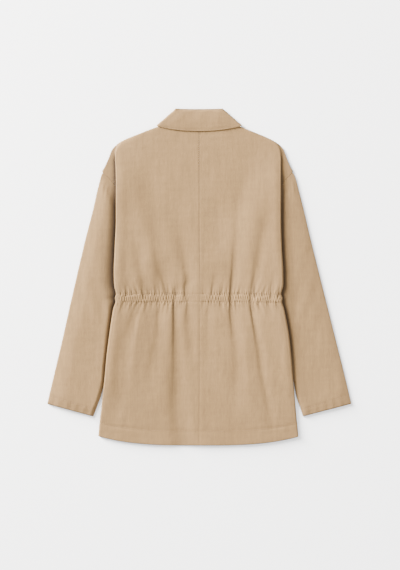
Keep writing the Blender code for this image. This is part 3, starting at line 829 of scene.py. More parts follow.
@dataclass
class BackHalf:
    """The shape of one half of the back.

    Attributes:
        side: The half.
        top_columns: Columns across the top layer, beside the narrow one at the seam.
        turn_columns: Columns round the fold at the side.
        pleat_columns: Columns across the pleat.
        inner_columns: Columns round the pleat's inner turn.
        end_columns: Columns from there to the hidden end.
        hem_rows: Rows of the turned-up hem.
        hem_turn_rows: How many of these go round its edge.
        painted_shade_rows: How much painted shade each point gets, row by row.
    """

    side: Side
    top_columns: int = 160
    turn_columns: int = 8
    pleat_columns: int = 8
    inner_columns: int = 6
    end_columns: int = 14
    hem_rows: int = 9
    hem_turn_rows: int = 5
    painted_shade_rows: list[np.ndarray] = field(default_factory=list)

    def level(self, out: Numbers, y: Numbers, raised: float) -> Numbers:
        """Middle of the wall of the upper layer, before the shoulder.

        Args:
            out: Distances from the centre back.
            y: Heights up the body.
            raised: How far the sleeve raises this row's side, from 0 to 1.

        Returns:
            The height at each place.
        """
        x = self.side.value * out
        over = BODY_OVER_SLEEVE * raised * lift(out, y)
        edge = FOLD_OUT[self.side].at(y)
        roll = 1.5 * raised * bell(edge - 11.0 - out, 12.0)
        beside_casing = bell(y - 10.0, 60.0) + bell(y + 105.0, 55.0)
        skirt = bell(out - 115.0, 50.0) * bell(y + 180.0, 120.0)
        puff = CASING_PUFF * beside_casing + SKIRT_PUFF * skirt
        flat_hem = smooth((y - hem_y(out)) / 60.0)
        height = BACK_OVER_FRONT + over + roll + puff * flat_hem
        height = height - gather_depth(x, y) * mix(0.8, 1.0, flat_hem) + RUCHES.rise(x, y)
        height = height + LOOSENESS * loose(x, y) * smooth((np.abs(y - CASING_MIDDLE) - 10.0) / 40.0)
        seam_groove = mix(0.14, 0.04, smooth((y + 80.0) / 60.0)) * bell(out - SEAM_OUT[self.side].at(y), 2.0)
        height = height - STITCH_GROOVE * stitch_lines(x, y, out) - seam_groove
        return height + SEAM_RIDGE * bell(out - 4.5, 3.0) * bell(y - CASING_MIDDLE, 200.0)

    def shoulder_drop(self, level: Numbers, out: Numbers, below: Numbers) -> Numbers:
        """The level where the back comes down to the shoulder seam.

        Args:
            level: The level away from the seam.
            out: Distances from the centre back.
            below: How far below the seam each place is.

        Returns:
            The height at each place.
        """
        seam = mix(BACK_OVER_NECK, SHOULDER_SEAM_LEVEL, smooth((out - 125.0) / 30.0))
        reach = mix(8.0, 14.0, smooth((out - 85.0) / 40.0))
        share = 1.0 - np.clip(below / reach, 0.0, 1.0)
        return mix(level, seam, 1.0 - np.sqrt(np.maximum(1.0 - share * share, 0.0)))

    def pleat(self, start: float, top: float, inner: float, low: float,
              end: float) -> tuple[float, np.ndarray]:
        """The pleat above the underarm, from the top layer round to the layer below it.

        Args:
            start: How far out the fold reaches.
            top: Height of the top layer.
            inner: How far in the pleat goes back.
            low: Height of the lowest layer.
            end: How far out the lowest layer ends.

        Returns:
            Where the turn starts, and its (out, height) points.
        """
        step = max(top - low, 0.0)
        before = start - inner
        outer_turn, inner_turn = OUTER_TURN * step, INNER_TURN * step
        both = outer_turn + inner_turn
        start -= outer_turn
        inner += inner_turn
        across, down = inner - start, step - both
        line = math.sqrt(max(across * across + down * down - both * both, 0.0))
        angle = math.atan2(both, line) + math.atan2(down, across)
        points = []
        for k in range(1, self.turn_columns + 1):
            turn = angle * k / self.turn_columns
            points.append((start + outer_turn * math.sin(turn),
                           top - outer_turn + outer_turn * math.cos(turn)))
        last = points[-1]
        first = (inner - inner_turn * math.sin(angle), low + inner_turn - inner_turn * math.cos(angle))
        points += [mix(last, first, k / self.pleat_columns) for k in range(1, self.pleat_columns + 1)]
        for k in range(1, self.inner_columns + 1):
            turn = angle * (1.0 - k / self.inner_columns)
            points.append((inner - inner_turn * math.sin(turn),
                           low + inner_turn - inner_turn * math.cos(turn)))
        shares = np.arange(1, self.end_columns + 1) / self.end_columns
        points += [mix((inner, low), (end, low), share) for share in shares]
        whole = np.array([(start, top)] + points)
        lengths = np.concatenate(([0.0], np.cumsum(np.hypot(*np.diff(whole, axis=0).T))))
        own = float(smooth((before + 2.0) / 10.0))
        runs = mix(np.arange(1, len(whole)) / len(points) * lengths[-1], lengths[1:], own)
        return start, np.stack([np.interp(runs, lengths, whole[:, k]) for k in (0, 1)], axis=1)

    def side_turn(self, start: float, top: float, y: float) -> tuple[float, np.ndarray]:
        """The side below the underarm: a round turn, then back in to the side seam.

        Args:
            start: How far out the fold reaches.
            top: Height of the top layer.
            y: The row's height up the body.

        Returns:
            Where the turn starts, and its (out, height) points.
        """
        held = UNDERSIDE_OVER_SLEEVE * float(smooth((y + 10.0) / 30.0))
        low = max(float(rest_height(self.side, start, y)), held) + WALL / 2
        radius = (top - low) / 2
        start -= radius
        turns = math.pi * np.arange(1, self.turn_columns + 1) / self.turn_columns
        away = float(smooth((UNDERARM - y) / 50.0))
        count = self.inner_columns + self.end_columns
        step = mix(0.8, 2.0, away) * 5 / count
        curl = math.radians(90.0) * (1.0 - away) * (np.arange(count) + 0.5) / count
        inward, down = np.cumsum(np.cos(curl)) * step, np.cumsum(np.sin(curl)) * step
        first = ROW_CURVES["end"].one(y) + max(float(inward.max()), 0.0)
        flat = mix(start, first, np.arange(1, self.pleat_columns + 1) / self.pleat_columns)
        outs = np.concatenate([start + radius * np.sin(turns), flat, first - inward])
        under = np.maximum(rest_height(self.side, outs, y), held) + WALL / 2
        heights = np.concatenate([top - radius + radius * np.cos(turns), under[self.turn_columns:]])
        heights[-count:] -= down
        return start, np.stack([outs, heights], axis=1)

    def height_on_row(self, out: Numbers, y: float) -> Numbers:
        """Where a row lies, as it bends with the shoulder line and with the hem.

        Args:
            out: Distances from the centre back.
            y: The row's height up the body, at the side.

        Returns:
            Its height up the body at each place.
        """
        side_top = SHOULDER_Y.one(BACK_ROWS[0].end)
        lifted = (back_top_y(self.side, out) - side_top) * ROW_CURVES["drop"].one(y)
        return y + lifted + (hem_y(out) - hem_y(HEM_REACH)) * hem_share(y)

    def hidden_end(self, y: float) -> float:
        """How far out the layer under the pleat ends, at the shoulder seam or the armhole.

        Args:
            y: The row's height up the body, at the side.

        Returns:
            The distance from the centre back.
        """
        if y > ARMHOLE[0].y:
            end = ROW_CURVES["end"].one(y)
            if self.side is Side.RIGHT:
                end = NECK_SHOULDER[0] + (end - NECK_SHOULDER[0]) / RIGHT_SHOULDER_STRETCH
            return end
        end = ARMHOLE_OUT[self.side].one(y)
        for _ in range(4):
            end = float(ARMHOLE_OUT[self.side].at(self.height_on_row(np.array([end]), y)[0]))
        return end - SEWN_GAP / 2

    def under_layer(self, y: float, edge: float, top: float) -> tuple[float, np.ndarray]:
        """What a row does past its fold: a pleat above the underarm, a turn to the side seam below.

        Args:
            y: The row's height up the body, at the side.
            edge: How far out the fold reaches.
            top: Height of the top layer there.

        Returns:
            Where the turn starts, and its (out, height) points.
        """
        if y <= UNDERARM:
            return self.side_turn(edge, top, y)
        low = mix(SHOULDER_SEAM_LEVEL, FRONT_LAYER, min((TOP_ROW - y) / 10.0, 1.0))
        tuck = ROW_CURVES["tuck"].one(y)
        left_edge = FOLD_OUT[Side.LEFT].one(y) - WALL / 2
        fold = mix(edge, left_edge, float(smooth(tuck / 40.0)))
        return self.pleat(edge, top, fold - tuck, low, self.hidden_end(y))

    def top_painted_shade(self, out: np.ndarray, y: np.ndarray, centre: float, row_y: float) -> np.ndarray:
        """The painted shade on the top layer: in troughs, on seams and stitches, and under the collar, with a
        painted highlight on the tops of the small folds.

        Args:
            out: Distances from the centre back.
            y: Heights up the body.
            centre: Where the centre seam is on this row.
            row_y: The row's height up the body, at the side.

        Returns:
            The darkness at each place, from 0 to 1 and sometimes past it.
        """
        x = self.side.value * out
        depth = np.maximum(gather_depth(x, y), 0.0) / DEEPEST
        drawn_up = bell(np.maximum(np.abs(y - CASING_MIDDLE) - 9.0, 0.0), 22.0)
        trough = mix(SHADE.trough, SHADE.trough_at_casing, drawn_up)
        # Painted shade in troughs, on stitches and along the sharp lines, and a painted highlight on the tops
        # of the small folds.
        crease = depth ** 2 * trough + SHADE.stitch * stitch_lines(x, y, out)
        crease = crease + SHADE.line * sharp_lines(x, y) - SHADE.ruche * RUCHES.rise(x, y)
        # Painted shade along the centre seam and under the edge of the collar's fall.
        seam = mix(SHADE.seam_below, SHADE.seam_above, float(smooth((row_y + 40.0) / 60.0)))
        crease = crease + seam * bell(out - centre, 1.0)
        under_fall = np.maximum(fall_line(out) - y, 0.0)
        return crease + SHADE.under_fall * bell(under_fall, 2.4) * smooth((COLLAR_TIP[0] - out) / 60.0)

    def under_painted_shade(self, out: np.ndarray, y: float) -> np.ndarray:
        """The painted shade on the layer past the fold, darkest in the gap beside it.

        Args:
            out: Distances from the centre back.
            y: The row's height up the body, at the side.

        Returns:
            The darkness at each place.
        """
        beyond = out - FOLD_OUT[self.side].one(y)
        # Painted shade in the gap beside the fold, and on the hidden layer inside it.
        gap = bell(np.maximum(beyond, 0.0), GAP_WIDTH[self.side].one(y) + 1.0)
        shaded = np.where(beyond > -2.0, gap * gap_painted_shade(y) * GAP_SHADE[self.side], SHADE.hidden)
        shaded[:self.turn_columns] *= np.linspace(0.0, 0.6, self.turn_columns)
        return shaded

    def row(self, y: float) -> np.ndarray:
        """One row of the half's grid, from the centre back seam to its hidden end.

        Args:
            y: The row's height up the body, at the side.

        Returns:
            An array of (x, y, z) points.
        """
        raised = ROW_CURVES["level"].one(y)
        edge = FOLD_OUT[self.side].one(y) - WALL / 2
        near = np.array([edge - 3.0])
        top = float(self.shoulder_drop(self.level(near, np.array([y]), raised), near, TOP_ROW - y)[0])
        start, under = self.under_layer(y, edge, top)
        centre = SEAM_OUT[self.side].one(y) + SEWN_GAP / 2
        outs = mix(centre, start, np.linspace(0.0, 1.0, self.top_columns))
        outs = np.insert(outs, 1, centre + SEAM_RIM)
        ys = self.height_on_row(outs, y)
        levels = self.level(outs, ys, raised)
        levels = self.shoulder_drop(levels, outs, back_top_y(self.side, outs) - ys)
        levels = mix(levels, top, smooth((outs - start + 5.0) / 5.0))
        painted_shade_rows = (self.top_painted_shade(outs, ys, centre, y), self.under_painted_shade(under[:, 0], y))
        self.painted_shade_rows.append(np.concatenate(painted_shade_rows))
        outs, levels = np.concatenate([outs, under[:, 0]]), np.concatenate([levels, under[:, 1]])
        ys = np.concatenate([ys, self.height_on_row(under[:, 0], y)])
        return np.stack([self.side.value * outs, ys, levels], axis=1)

    def grid(self) -> np.ndarray:
        """All rows of the half, with its hem turned up inside.

        Returns:
            An array of rows of (x, y, z) points.
        """
        rows = [self.row(y) for y in back_levels()]
        hem = rows[-1]
        for k in range(1, self.hem_rows + 1):
            past_turn = max(k - self.hem_turn_rows, 0)
            turn = math.pi * min(k / self.hem_turn_rows, 1.0)
            run = (HEM_DEPTH + 2.0) * past_turn / (self.hem_rows - self.hem_turn_rows)
            turned = hem.copy()
            fold_out = FOLD_OUT[self.side]
            turned[:, 0] *= fold_out.one(HEM_ROW + run) / fold_out.one(HEM_ROW)
            turned[:, 1] += run - HEM_TURN_RADIUS * math.sin(turn)
            turned[:, 2] -= HEM_TURN_RADIUS * (1.0 - math.cos(turn)) * self.hem_inside()
            rows.append(turned)
            # Painted shade on the turned-up hem inside.
            self.painted_shade_rows.append(np.full(len(hem), 0.5))
        return np.array(rows)

    def hem_inside(self) -> np.ndarray:
        """Which way the hem turns on each column: down on the top layer, up on the one below.

        Returns:
            1 on the top layer and -1 on the layer that lies under it.
        """
        columns = self.top_columns + 1 + self.turn_columns
        columns += self.pleat_columns + self.inner_columns + self.end_columns
        place = np.arange(columns) - self.top_columns - self.turn_columns / 2
        return np.clip(-place / (self.turn_columns / 2), -1.0, 1.0)


def back_levels() -> list[float]:
    """Heights of the back's rows, closest together at the casing.

    Returns:
        The heights from the shoulder to the hem.
    """
    closest, widest, shoulder_step = 1.5, 3.4, 2.4
    levels = [TOP_ROW]
    while levels[-1] > HEM_ROW + closest:
        gap = abs(levels[-1] - CASING_MIDDLE)
        step = mix(closest, widest, float(smooth((gap - 14.0) / 40.0)))
        step = min(step, shoulder_step) if levels[-1] > ARMHOLE_TOP else step
        levels.append(levels[-1] - step)
    levels[-1] = HEM_ROW
    return levels


@dataclass
class FrontHalf:
    """The shape of one hidden front, as its underside.

    Attributes:
        side: The half.
        row_count: Rows from the shoulder to the hem.
        column_count: Columns from the closing edge to the armhole and the side seam.
    """

    side: Side
    row_count: int = 151
    column_count: int = 65

    def leaf_lift(self, out: Numbers, y: Numbers) -> Numbers:
        """How far the front is raised by the collar's leaf under it.

        Args:
            out: Distances from the centre.
            y: Heights up the body.

        Returns:
            The height at each place.
        """
        corners = (FOLD_CORNER, FOLD_FRONT, COLLAR_POINT, COLLAR_TIP)
        inside = np.min([
            ((b[0] - a[0]) * (y - a[1]) - (b[1] - a[1]) * (out - a[0])) / math.dist(a, b)
            for a, b in zip(corners, corners[1:] + corners[:1])
        ], axis=0)
        return ONE_LAYER_UP * smooth((out - FRONT_OVERLAP - 2.0) / 8.0) * smooth((inside + 40.0) / 20.0)

    def grid(self) -> np.ndarray:
        """The front's underside, from its closing edge to the armhole and the side seam.

        Returns:
            An array of rows of (x, y, z) points.
        """
        corner = ARMHOLE_OUT[self.side].one(ARMHOLE_TOP)
        across = np.linspace(0.0, 1.0, self.column_count)
        top_outs = mix(-FRONT_OVERLAP, corner - SEAM_GAP, across)
        rows = []
        for level in np.linspace(ARMHOLE_TOP, HEM_ROW, self.row_count):
            if level > UNDERARM:
                outer = ARMHOLE_OUT[self.side].one(level)
            else:
                outer = ROW_CURVES["end"].one(level) - SIDE_SEAM_STEP
            outs = mix(-FRONT_OVERLAP, outer - SEAM_GAP, across)
            drop = min(max((level - UNDERARM) / (ARMHOLE_TOP - UNDERARM), 0.0), 1.0)
            fade = 1.0 - float(smooth((level - 20.0) / 25.0))
            ys = level + (front_top_y(self.side, top_outs) - front_top_y(self.side, corner)) * drop
            ys = ys + (hem_y(outs) - hem_y(HEM_REACH)) * hem_share(level)
            rise = np.maximum(rest_height(self.side, outs, ys) * fade, self.leaf_lift(outs, ys))
            if self.side is Side.LEFT:
                rise = np.maximum(rise, ONE_LAYER_UP * smooth((FRONT_OVERLAP + 10.0 - outs) / 8.0))
            rows.append(np.stack([self.side.value * outs, ys, rise], axis=1))
        return np.array(rows)


@dataclass
class Sleeve:
    """The shape of one sleeve, a flattened tube, as its outer skin.

    Attributes:
        side: The half.
        row_count: Rows from the cuff to the armhole.
        under_columns: Columns across the skin that lies on the floor.
        edge_columns: Steps round each edge.
        top_columns: Columns across the upper skin.
        painted_shade_rows: How much painted shade each point gets, row by row.
    """

    side: Side
    row_count: int = 151
    under_columns: int = 11
    edge_columns: int = 6
    top_columns: int = 57
    painted_shade_rows: list[np.ndarray] = field(default_factory=list)

    @property
    def height(self) -> float:
        """How high the open part of the sleeve stands."""
        return 8.8 if self.side is Side.LEFT else 6.4

    @property
    def bank(self) -> float:
        """How far in from its outer edge the sleeve reaches that height."""
        return 40.0 if self.side is Side.LEFT else 58.0

    def crown(self, out: Numbers, y: Numbers, across: Numbers, width: float, share: float) -> Numbers:
        """Height of the sleeve's upper skin.

        Args:
            out: Distances from the centre back.
            y: Heights up the body.
            across: Distances from the sleeve's outer edge.
            width: The sleeve's width on this row.
            share: How far the row is from the cuff to the armhole.

        Returns:
            The height at each place.
        """
        past_hem = smooth((-y - 330.0) / 40.0)
        clear = out - FOLD_OUT[self.side].at(y) * (1.0 - past_hem)
        dome = mix(SLEEVE_PRESSED, self.height, np.sqrt(smooth(across / self.bank)))
        toward_inner = smooth((width - across) / mix(16.0, 8.0, smooth((-y - 190.0) / 50.0)))
        rise = np.clip((clear - 0.5) / (4.0 + 1.1 * GAP_WIDTH[self.side].at(y)), 0.0, 1.0)
        open_part = mix(SLEEVE_VALLEY, dome, np.sin(math.pi / 2 * rise))
        open_part = open_part * toward_inner + SLEEVE_PRESSED * (1.0 - toward_inner)
        height = mix(SLEEVE_PRESSED, open_part, smooth((clear + 6.0) / 5.0))
        cuff = smooth(share * 24.0)
        height = mix(SLEEVE_PRESSED, height, mix(0.55, 1.0, cuff))
        at_armhole = smooth((1.0 - share) * 16.0)
        return mix(SLEEVE_PRESSED - 0.4, height, at_armhole)

    def wrinkles(self, across: Numbers, along: float) -> Numbers:
        """Small unevenness of the upper skin.

        Args:
            across: Distances from the sleeve's outer edge.
            along: The row's distance from the cuff.

        Returns:
            The height at each place.
        """
        slow = 0.45 * np.sin(across / 19.0 + 0.8 * np.sin(along / 70.0) + 0.5 * self.side.value)
        slow = slow + 0.35 * np.sin(along / 52.0 + across / 33.0) * np.sin(along / 31.0 + 1.0)
        elbow = 0.3 * bell(along - 285.0, 60.0) * np.sin(along / 13.0 + across / 12.0)
        pucker = 0.5 * bell(along - 527.0, 17.0) * np.sin(across / 2.3 + along / 9.0)
        hem = 0.3 * bell(along - 8.0, 16.0) * np.sin(across / 3.1)
        return slow + elbow + pucker + hem

    def section(self, width: float) -> tuple[np.ndarray, np.ndarray, slice]:
        """The tube's flat section, from under its outer edge all the way round.

        Args:
            width: The sleeve's width on this row.

        Returns:
            Distances from the outer edge, heights, and which of them are the upper skin.
        """
        radius = SLEEVE_PRESSED / 2
        under = np.linspace(radius, width - radius, self.under_columns)
        upper = np.linspace(width - radius, radius, self.top_columns)
        turn = math.pi * np.arange(1, self.edge_columns) / self.edge_columns
        bulge, climb = radius * np.sin(turn), radius * np.cos(turn)
        across = np.concatenate([under, width - radius + bulge, upper, radius - bulge])
        heights = np.concatenate([
            np.zeros(len(under)), radius - climb, np.full(len(upper), SLEEVE_PRESSED), radius + climb])
        first = len(under) + len(turn)
        return across, heights, slice(first, first + len(upper))

    def crease(self, out: Numbers, y: Numbers, across: Numbers, along: float) -> Numbers:
        """The painted shade on the upper skin: beside the body, on the cuff's stitches and at the edges.

        Args:
            out: Distances from the centre back.
            y: Heights up the body.
            across: Distances from the sleeve's outer edge.
            along: The row's distance from the cuff.

        Returns:
            The darkness at each place.
        """
        gap = GAP_WIDTH[self.side].at(y)
        clear = out - FOLD_OUT[self.side].at(y)
        beside_body = np.exp(-(np.maximum(clear - 0.5, 0.0) / gap) ** 1.5)
        beside_body = beside_body * np.clip(gap / 9.0, 0.5, 1.0) * GAP_SHADE[self.side]
        # Painted shade beside the body, on the cuff's stitches and along the rounded outer edge; also a
        # little darker towards the cuff's end.
        dark = 0.96 * beside_body * gap_painted_shade(y) + 0.12 * bell(along - CUFF_HEM, HEM_LINE_WIDTH)
        return dark + 0.06 * bell(along, 18.0) + 0.05 * (1.0 - smooth(across / 24.0))

    def row(self, share: float) -> np.ndarray:
        """One closed row round the tube.

        Args:
            share: How far the row is from the cuff to the armhole.

        Returns:
            An array of (x, y, z) points.
        """
        outer, inner = sleeve_ends(self.side, share)
        width = math.dist(outer, inner)
        across, heights, upper = self.section(width)
        outs, ys = (mix(outer[k], inner[k], across / width) for k in (0, 1))
        if share > 0.97:
            radius = SLEEVE_PRESSED / 2
            blend = float(smooth((share - 0.97) / 0.03))
            seam_y = mix(SLEEVE_TOP, SLEEVE_INNER[-1].y, np.maximum(across, radius) / width)
            seam_out = ARMHOLE_OUT[self.side].at(seam_y) + 1.5 * np.maximum(radius - across, 0.0)
            ys, outs = mix(ys, seam_y, blend), mix(outs, seam_out, blend)
        along = share * SLEEVE_LENGTH
        out, y, in_from_edge = outs[upper], ys[upper], across[upper]
        free = smooth(in_from_edge / 14.0) * smooth((out - FOLD_OUT[self.side].at(y) - 8.0) / 20.0)
        wrinkled = self.wrinkles(in_from_edge, along) * free * float(smooth((1.0 - share) * 30.0))
        top = self.crown(out, y, in_from_edge, width, share) + wrinkled
        heights[upper] = top - 0.5 * bell(along - CUFF_HEM, HEM_LINE_WIDTH) * free
        # Painted shade only on the upper skin.
        crease = np.zeros(len(across))
        crease[upper] = self.crease(out, y, in_from_edge, along)
        self.painted_shade_rows.append(crease)
        return np.stack([self.side.value * outs, ys, heights], axis=1)

    def grid(self) -> np.ndarray:
        """The tube's outer skin, from cuff to armhole, as closed rows of (x, y, z) points."""
        return np.array([self.row(share) for share in np.linspace(0.0, 1.0, self.row_count)])


def sleeve_ends(side: Side, share: float) -> tuple[Point, Point]:
    """Where a row across the sleeve starts and ends.

    Args:
        side: The half.
        share: How far the row is from the cuff to the armhole.

    Returns:
        The points (out, y) on the outer edge and the inner edge.
    """
    outer_y = mix(SLEEVE_OUTER[0].y, SLEEVE_TOP, share)
    inner_y = mix(SLEEVE_INNER[0].y, SLEEVE_INNER[-1].y, share)
    return (OUTER_OUT[side].one(outer_y), outer_y), (INNER_OUT[side].one(inner_y), inner_y)


@dataclass
class CollarBand:
    """A band that goes round the neck and turns under at both sides.

    Attributes:
        leaf_columns: Columns across each leaf, the part that lies under the coat.
        turn_columns: Columns round each side turn.
        back_columns: Steps across the back.
    """

    leaf_columns: int = 30
    turn_columns: int = 8
    back_columns: int = 110

    @staticmethod
    def outward() -> Point:
        """The direction that points out of the collar, square to its side fold."""
        run = (COLLAR_TIP[0] - FOLD_CORNER[0], COLLAR_TIP[1] - FOLD_CORNER[1])
        return -run[1] / math.hypot(*run), run[0] / math.hypot(*run)

    def row(self, tip_share: float, inset: float, heights: Point, leaf_end: Point, back_y: float,
            pull: float = 0.0, puff: float = 0.0) -> np.ndarray:
        """One row along the band: left leaf, side turn, back, side turn, right leaf.

        Args:
            tip_share: How far the row is from the fold's corner to the tip.
            inset: How far the side turn is in from the outline.
            heights: Lowest and highest height of the row.
            leaf_end: Where the leaf ends, as (out, y).
            back_y: Height up the body at the centre back.
            pull: How far the row is pulled in to the middle of the wall's turn.
            puff: How far the back of the row stands up.

        Returns:
            An array of (x, y, z) points.
        """
        low, high = heights
        radius = (high - low) / 2
        roundness = mix(0.3, 1.0, float(smooth(tip_share / 0.14)))
        normal = self.outward()
        out, y = mix(FOLD_CORNER, COLLAR_TIP, tip_share)
        inset += radius * roundness
        out, y = out - inset * normal[0], y - inset * normal[1]
        half = [mix((*leaf_end, low + pull), (out, y, low + pull), k / self.leaf_columns)
                for k in range(self.leaf_columns)]
        for k in range(self.turn_columns):
            turn = math.pi * k / self.turn_columns
            reach = (radius - pull) * math.sin(turn) * roundness
            half.append((out + normal[0] * reach, y + normal[1] * reach,
                         low + radius - (radius - pull) * math.cos(turn)))
        back = []
        for along in np.linspace(-1.0, 1.0, self.back_columns + 1):
            middle = 1.0 - abs(along) ** 2.2
            settled = 0.25 * math.sin(along * 9.0 + 4.0 * tip_share) * middle
            raised = (puff + settled * min(puff, 1.0)) * min(4.0 * (1.0 - abs(along)), 1.0)
            back.append((along * out, y + (back_y - y) * middle, high - pull + raised))
        left = [(-px, py, pz) for px, py, pz in half]
        right = [(px, py, pz) for px, py, pz in reversed(half)]
        return np.array(left + back + right)


@dataclass
class CollarFall(CollarBand):
    """The turned-down part of the collar.

    Attributes:
        row_count: Rows from the fold line to the outer edge.
        top_dip: How far the fold line's two edge rows lie under the top of the fall.
        painted_shade_rows: How much painted shade each point gets, row by row.
    """

    row_count: int = 46
    top_dip: float = 2.2
    painted_shade_rows: list[np.ndarray] = field(default_factory=list)

    def grid(self) -> np.ndarray:
        """The fall's outer skin, from inside its fold line to its outer edge.

        Returns:
            An array of rows of (x, y, z) points.
        """
        rows = []
        depth = FOLD_CORNER[1] - FALL_TOP_DIP - FALL_CENTRE
        shares = np.concatenate([[0.0, 0.0], np.linspace(0.0, 1.0, self.row_count)])
        pulls = np.concatenate([[1.6, 0.7], np.zeros(self.row_count)])
        for share, pull in zip(shares, pulls):
            roll = (1.0 - share) * 6.0
            rounded = max(1.0 - roll, 0.0) if share > 0.85 else 0.0
            back_y = mix(FOLD_CORNER[1] - FALL_TOP_DIP, FALL_CENTRE, share)
            leaf_end = mix(FOLD_FRONT, COLLAR_POINT, share)
            dip = self.top_dip * float(bell(share * depth, 3.4)) if pull == 0.0 else self.top_dip
            puff = 0.9 * math.sin(math.pi * min(share * 1.1, 1.0)) - dip - 0.6 * rounded
            row = self.row(share, 0.0, (0.0, COLLAR_HEIGHT), leaf_end, back_y, pull, puff)
            rows.append(row)
            # Painted shade along the fall's fold line.
            self.painted_shade_rows.append(np.full(len(row), 0.30 * float(bell(share * depth, 3.0))))
        return np.array(rows)


@dataclass
class CollarStand(CollarBand):
    """The band between the neck seam and the fall.

    Attributes:
        row_count: Rows from the fold line to the neck seam.
    """

    row_count: int = 9

    def grid(self) -> np.ndarray:
        """The middle of the stand's wall, from the fold line to the neck seam.

        Returns:
            An array of rows of (x, y, z) points.
        """
        rows = []
        heights = (FRONT_LAYER, BACK_OVER_NECK)
        for share in np.linspace(0.0, 1.0, self.row_count):
            back_y = mix(FOLD_CORNER[1] - 5.0, NECK_CENTRE_BACK + WALL, share)
            leaf_end = mix(STAND_FRONT, (NECK_FRONT[0] - 2.0, NECK_FRONT[1] + 3.0), share)
            rows.append(self.row(mix(0.10, 0.66, share), 3.2, heights, leaf_end, back_y))
        return np.array(rows)


class Graph:
    """The nodes of one material, with short ways to add and join them."""

    def __init__(self, name: str, roughness: float) -> None:
        """Start a material.

        Args:
            name: The material's name.
            roughness: How matt it is, from 0 to 1.
        """
        self.material = bpy.data.materials.new(name)
        self.material.use_nodes = True
        self.shader = self.material.node_tree.nodes["Principled BSDF"]
        self.place = self.node("ShaderNodeTexCoord").outputs
        self.join(self.shader, Roughness=roughness)

    def join(self, node: bpy.types.Node, **inputs: object) -> None:
        """Set a node's inputs, each to a value or to another node's socket.

        Args:
            node: The node.
            **inputs: The inputs' names and what they get.
        """
        for name, value in inputs.items():
            if isinstance(value, bpy.types.NodeSocket):
                self.material.node_tree.links.new(value, node.inputs[name])
            else:
                node.inputs[name].default_value = value

    def node(self, kind: str, **inputs: object) -> bpy.types.Node:
        """Add a node.

        Args:
            kind: Its type.
            **inputs: Its inputs' names and what they get.

        Returns:
            The node.
        """
        made = self.material.node_tree.nodes.new(kind)
        self.join(made, **inputs)
        return made

    def noise(self, vector: bpy.types.NodeSocket, scale: float, detail: float,
              stretch: tuple[float, float, float] | None = None) -> bpy.types.NodeSocket:
        """Add a noise texture.

        Args:
            vector: The coordinates that it reads.
            scale: Its scale, in waves to the metre.
            detail: Its octaves.
            stretch: How the coordinates are scaled first, or None.

        Returns:
            The socket that says how much.
        """
        if stretch:
            vector = self.node("ShaderNodeMapping", Scale=stretch, Vector=vector).outputs["Vector"]
        return self.node("ShaderNodeTexNoise", Scale=scale, Detail=detail, Vector=vector).outputs["Fac"]

    def blend(self, amount: bpy.types.NodeSocket, first: tuple, second: tuple) -> bpy.types.NodeSocket:
        """Blend two colours.

        Args:
            amount: The socket that says how much of the second.
            first: The first colour.
            second: The second colour.

        Returns:
            The colour's socket.
        """
        ramp = self.node("ShaderNodeValToRGB", Fac=amount)
        for element, position, colour in zip(ramp.color_ramp.elements, (0.35, 0.68), (first, second)):
            element.position, element.color = position, colour
        return ramp.outputs["Color"]

    def darken(self, colour: bpy.types.NodeSocket, by: bpy.types.NodeSocket,
               amount: float) -> bpy.types.NodeSocket:
        """Multiply a colour by a texture.

        Args:
            colour: The colour's socket.
            by: The texture's socket.
            amount: How strongly, from 0 to 1.

        Returns:
            The new colour's socket.
        """
        made = self.node("ShaderNodeMixRGB", Fac=amount, Color1=colour, Color2=by)
        made.blend_type = "MULTIPLY"
        return made.outputs["Color"]

    def bump(self, height: bpy.types.NodeSocket, strength: float, distance: float,
             **under: bpy.types.NodeSocket) -> bpy.types.NodeSocket:
        """Add relief of a depth in metres, over the relief under it, and return its Normal socket."""
        made = self.node("ShaderNodeBump", Strength=strength, Distance=distance, Height=height, **under)
        return made.outputs["Normal"]


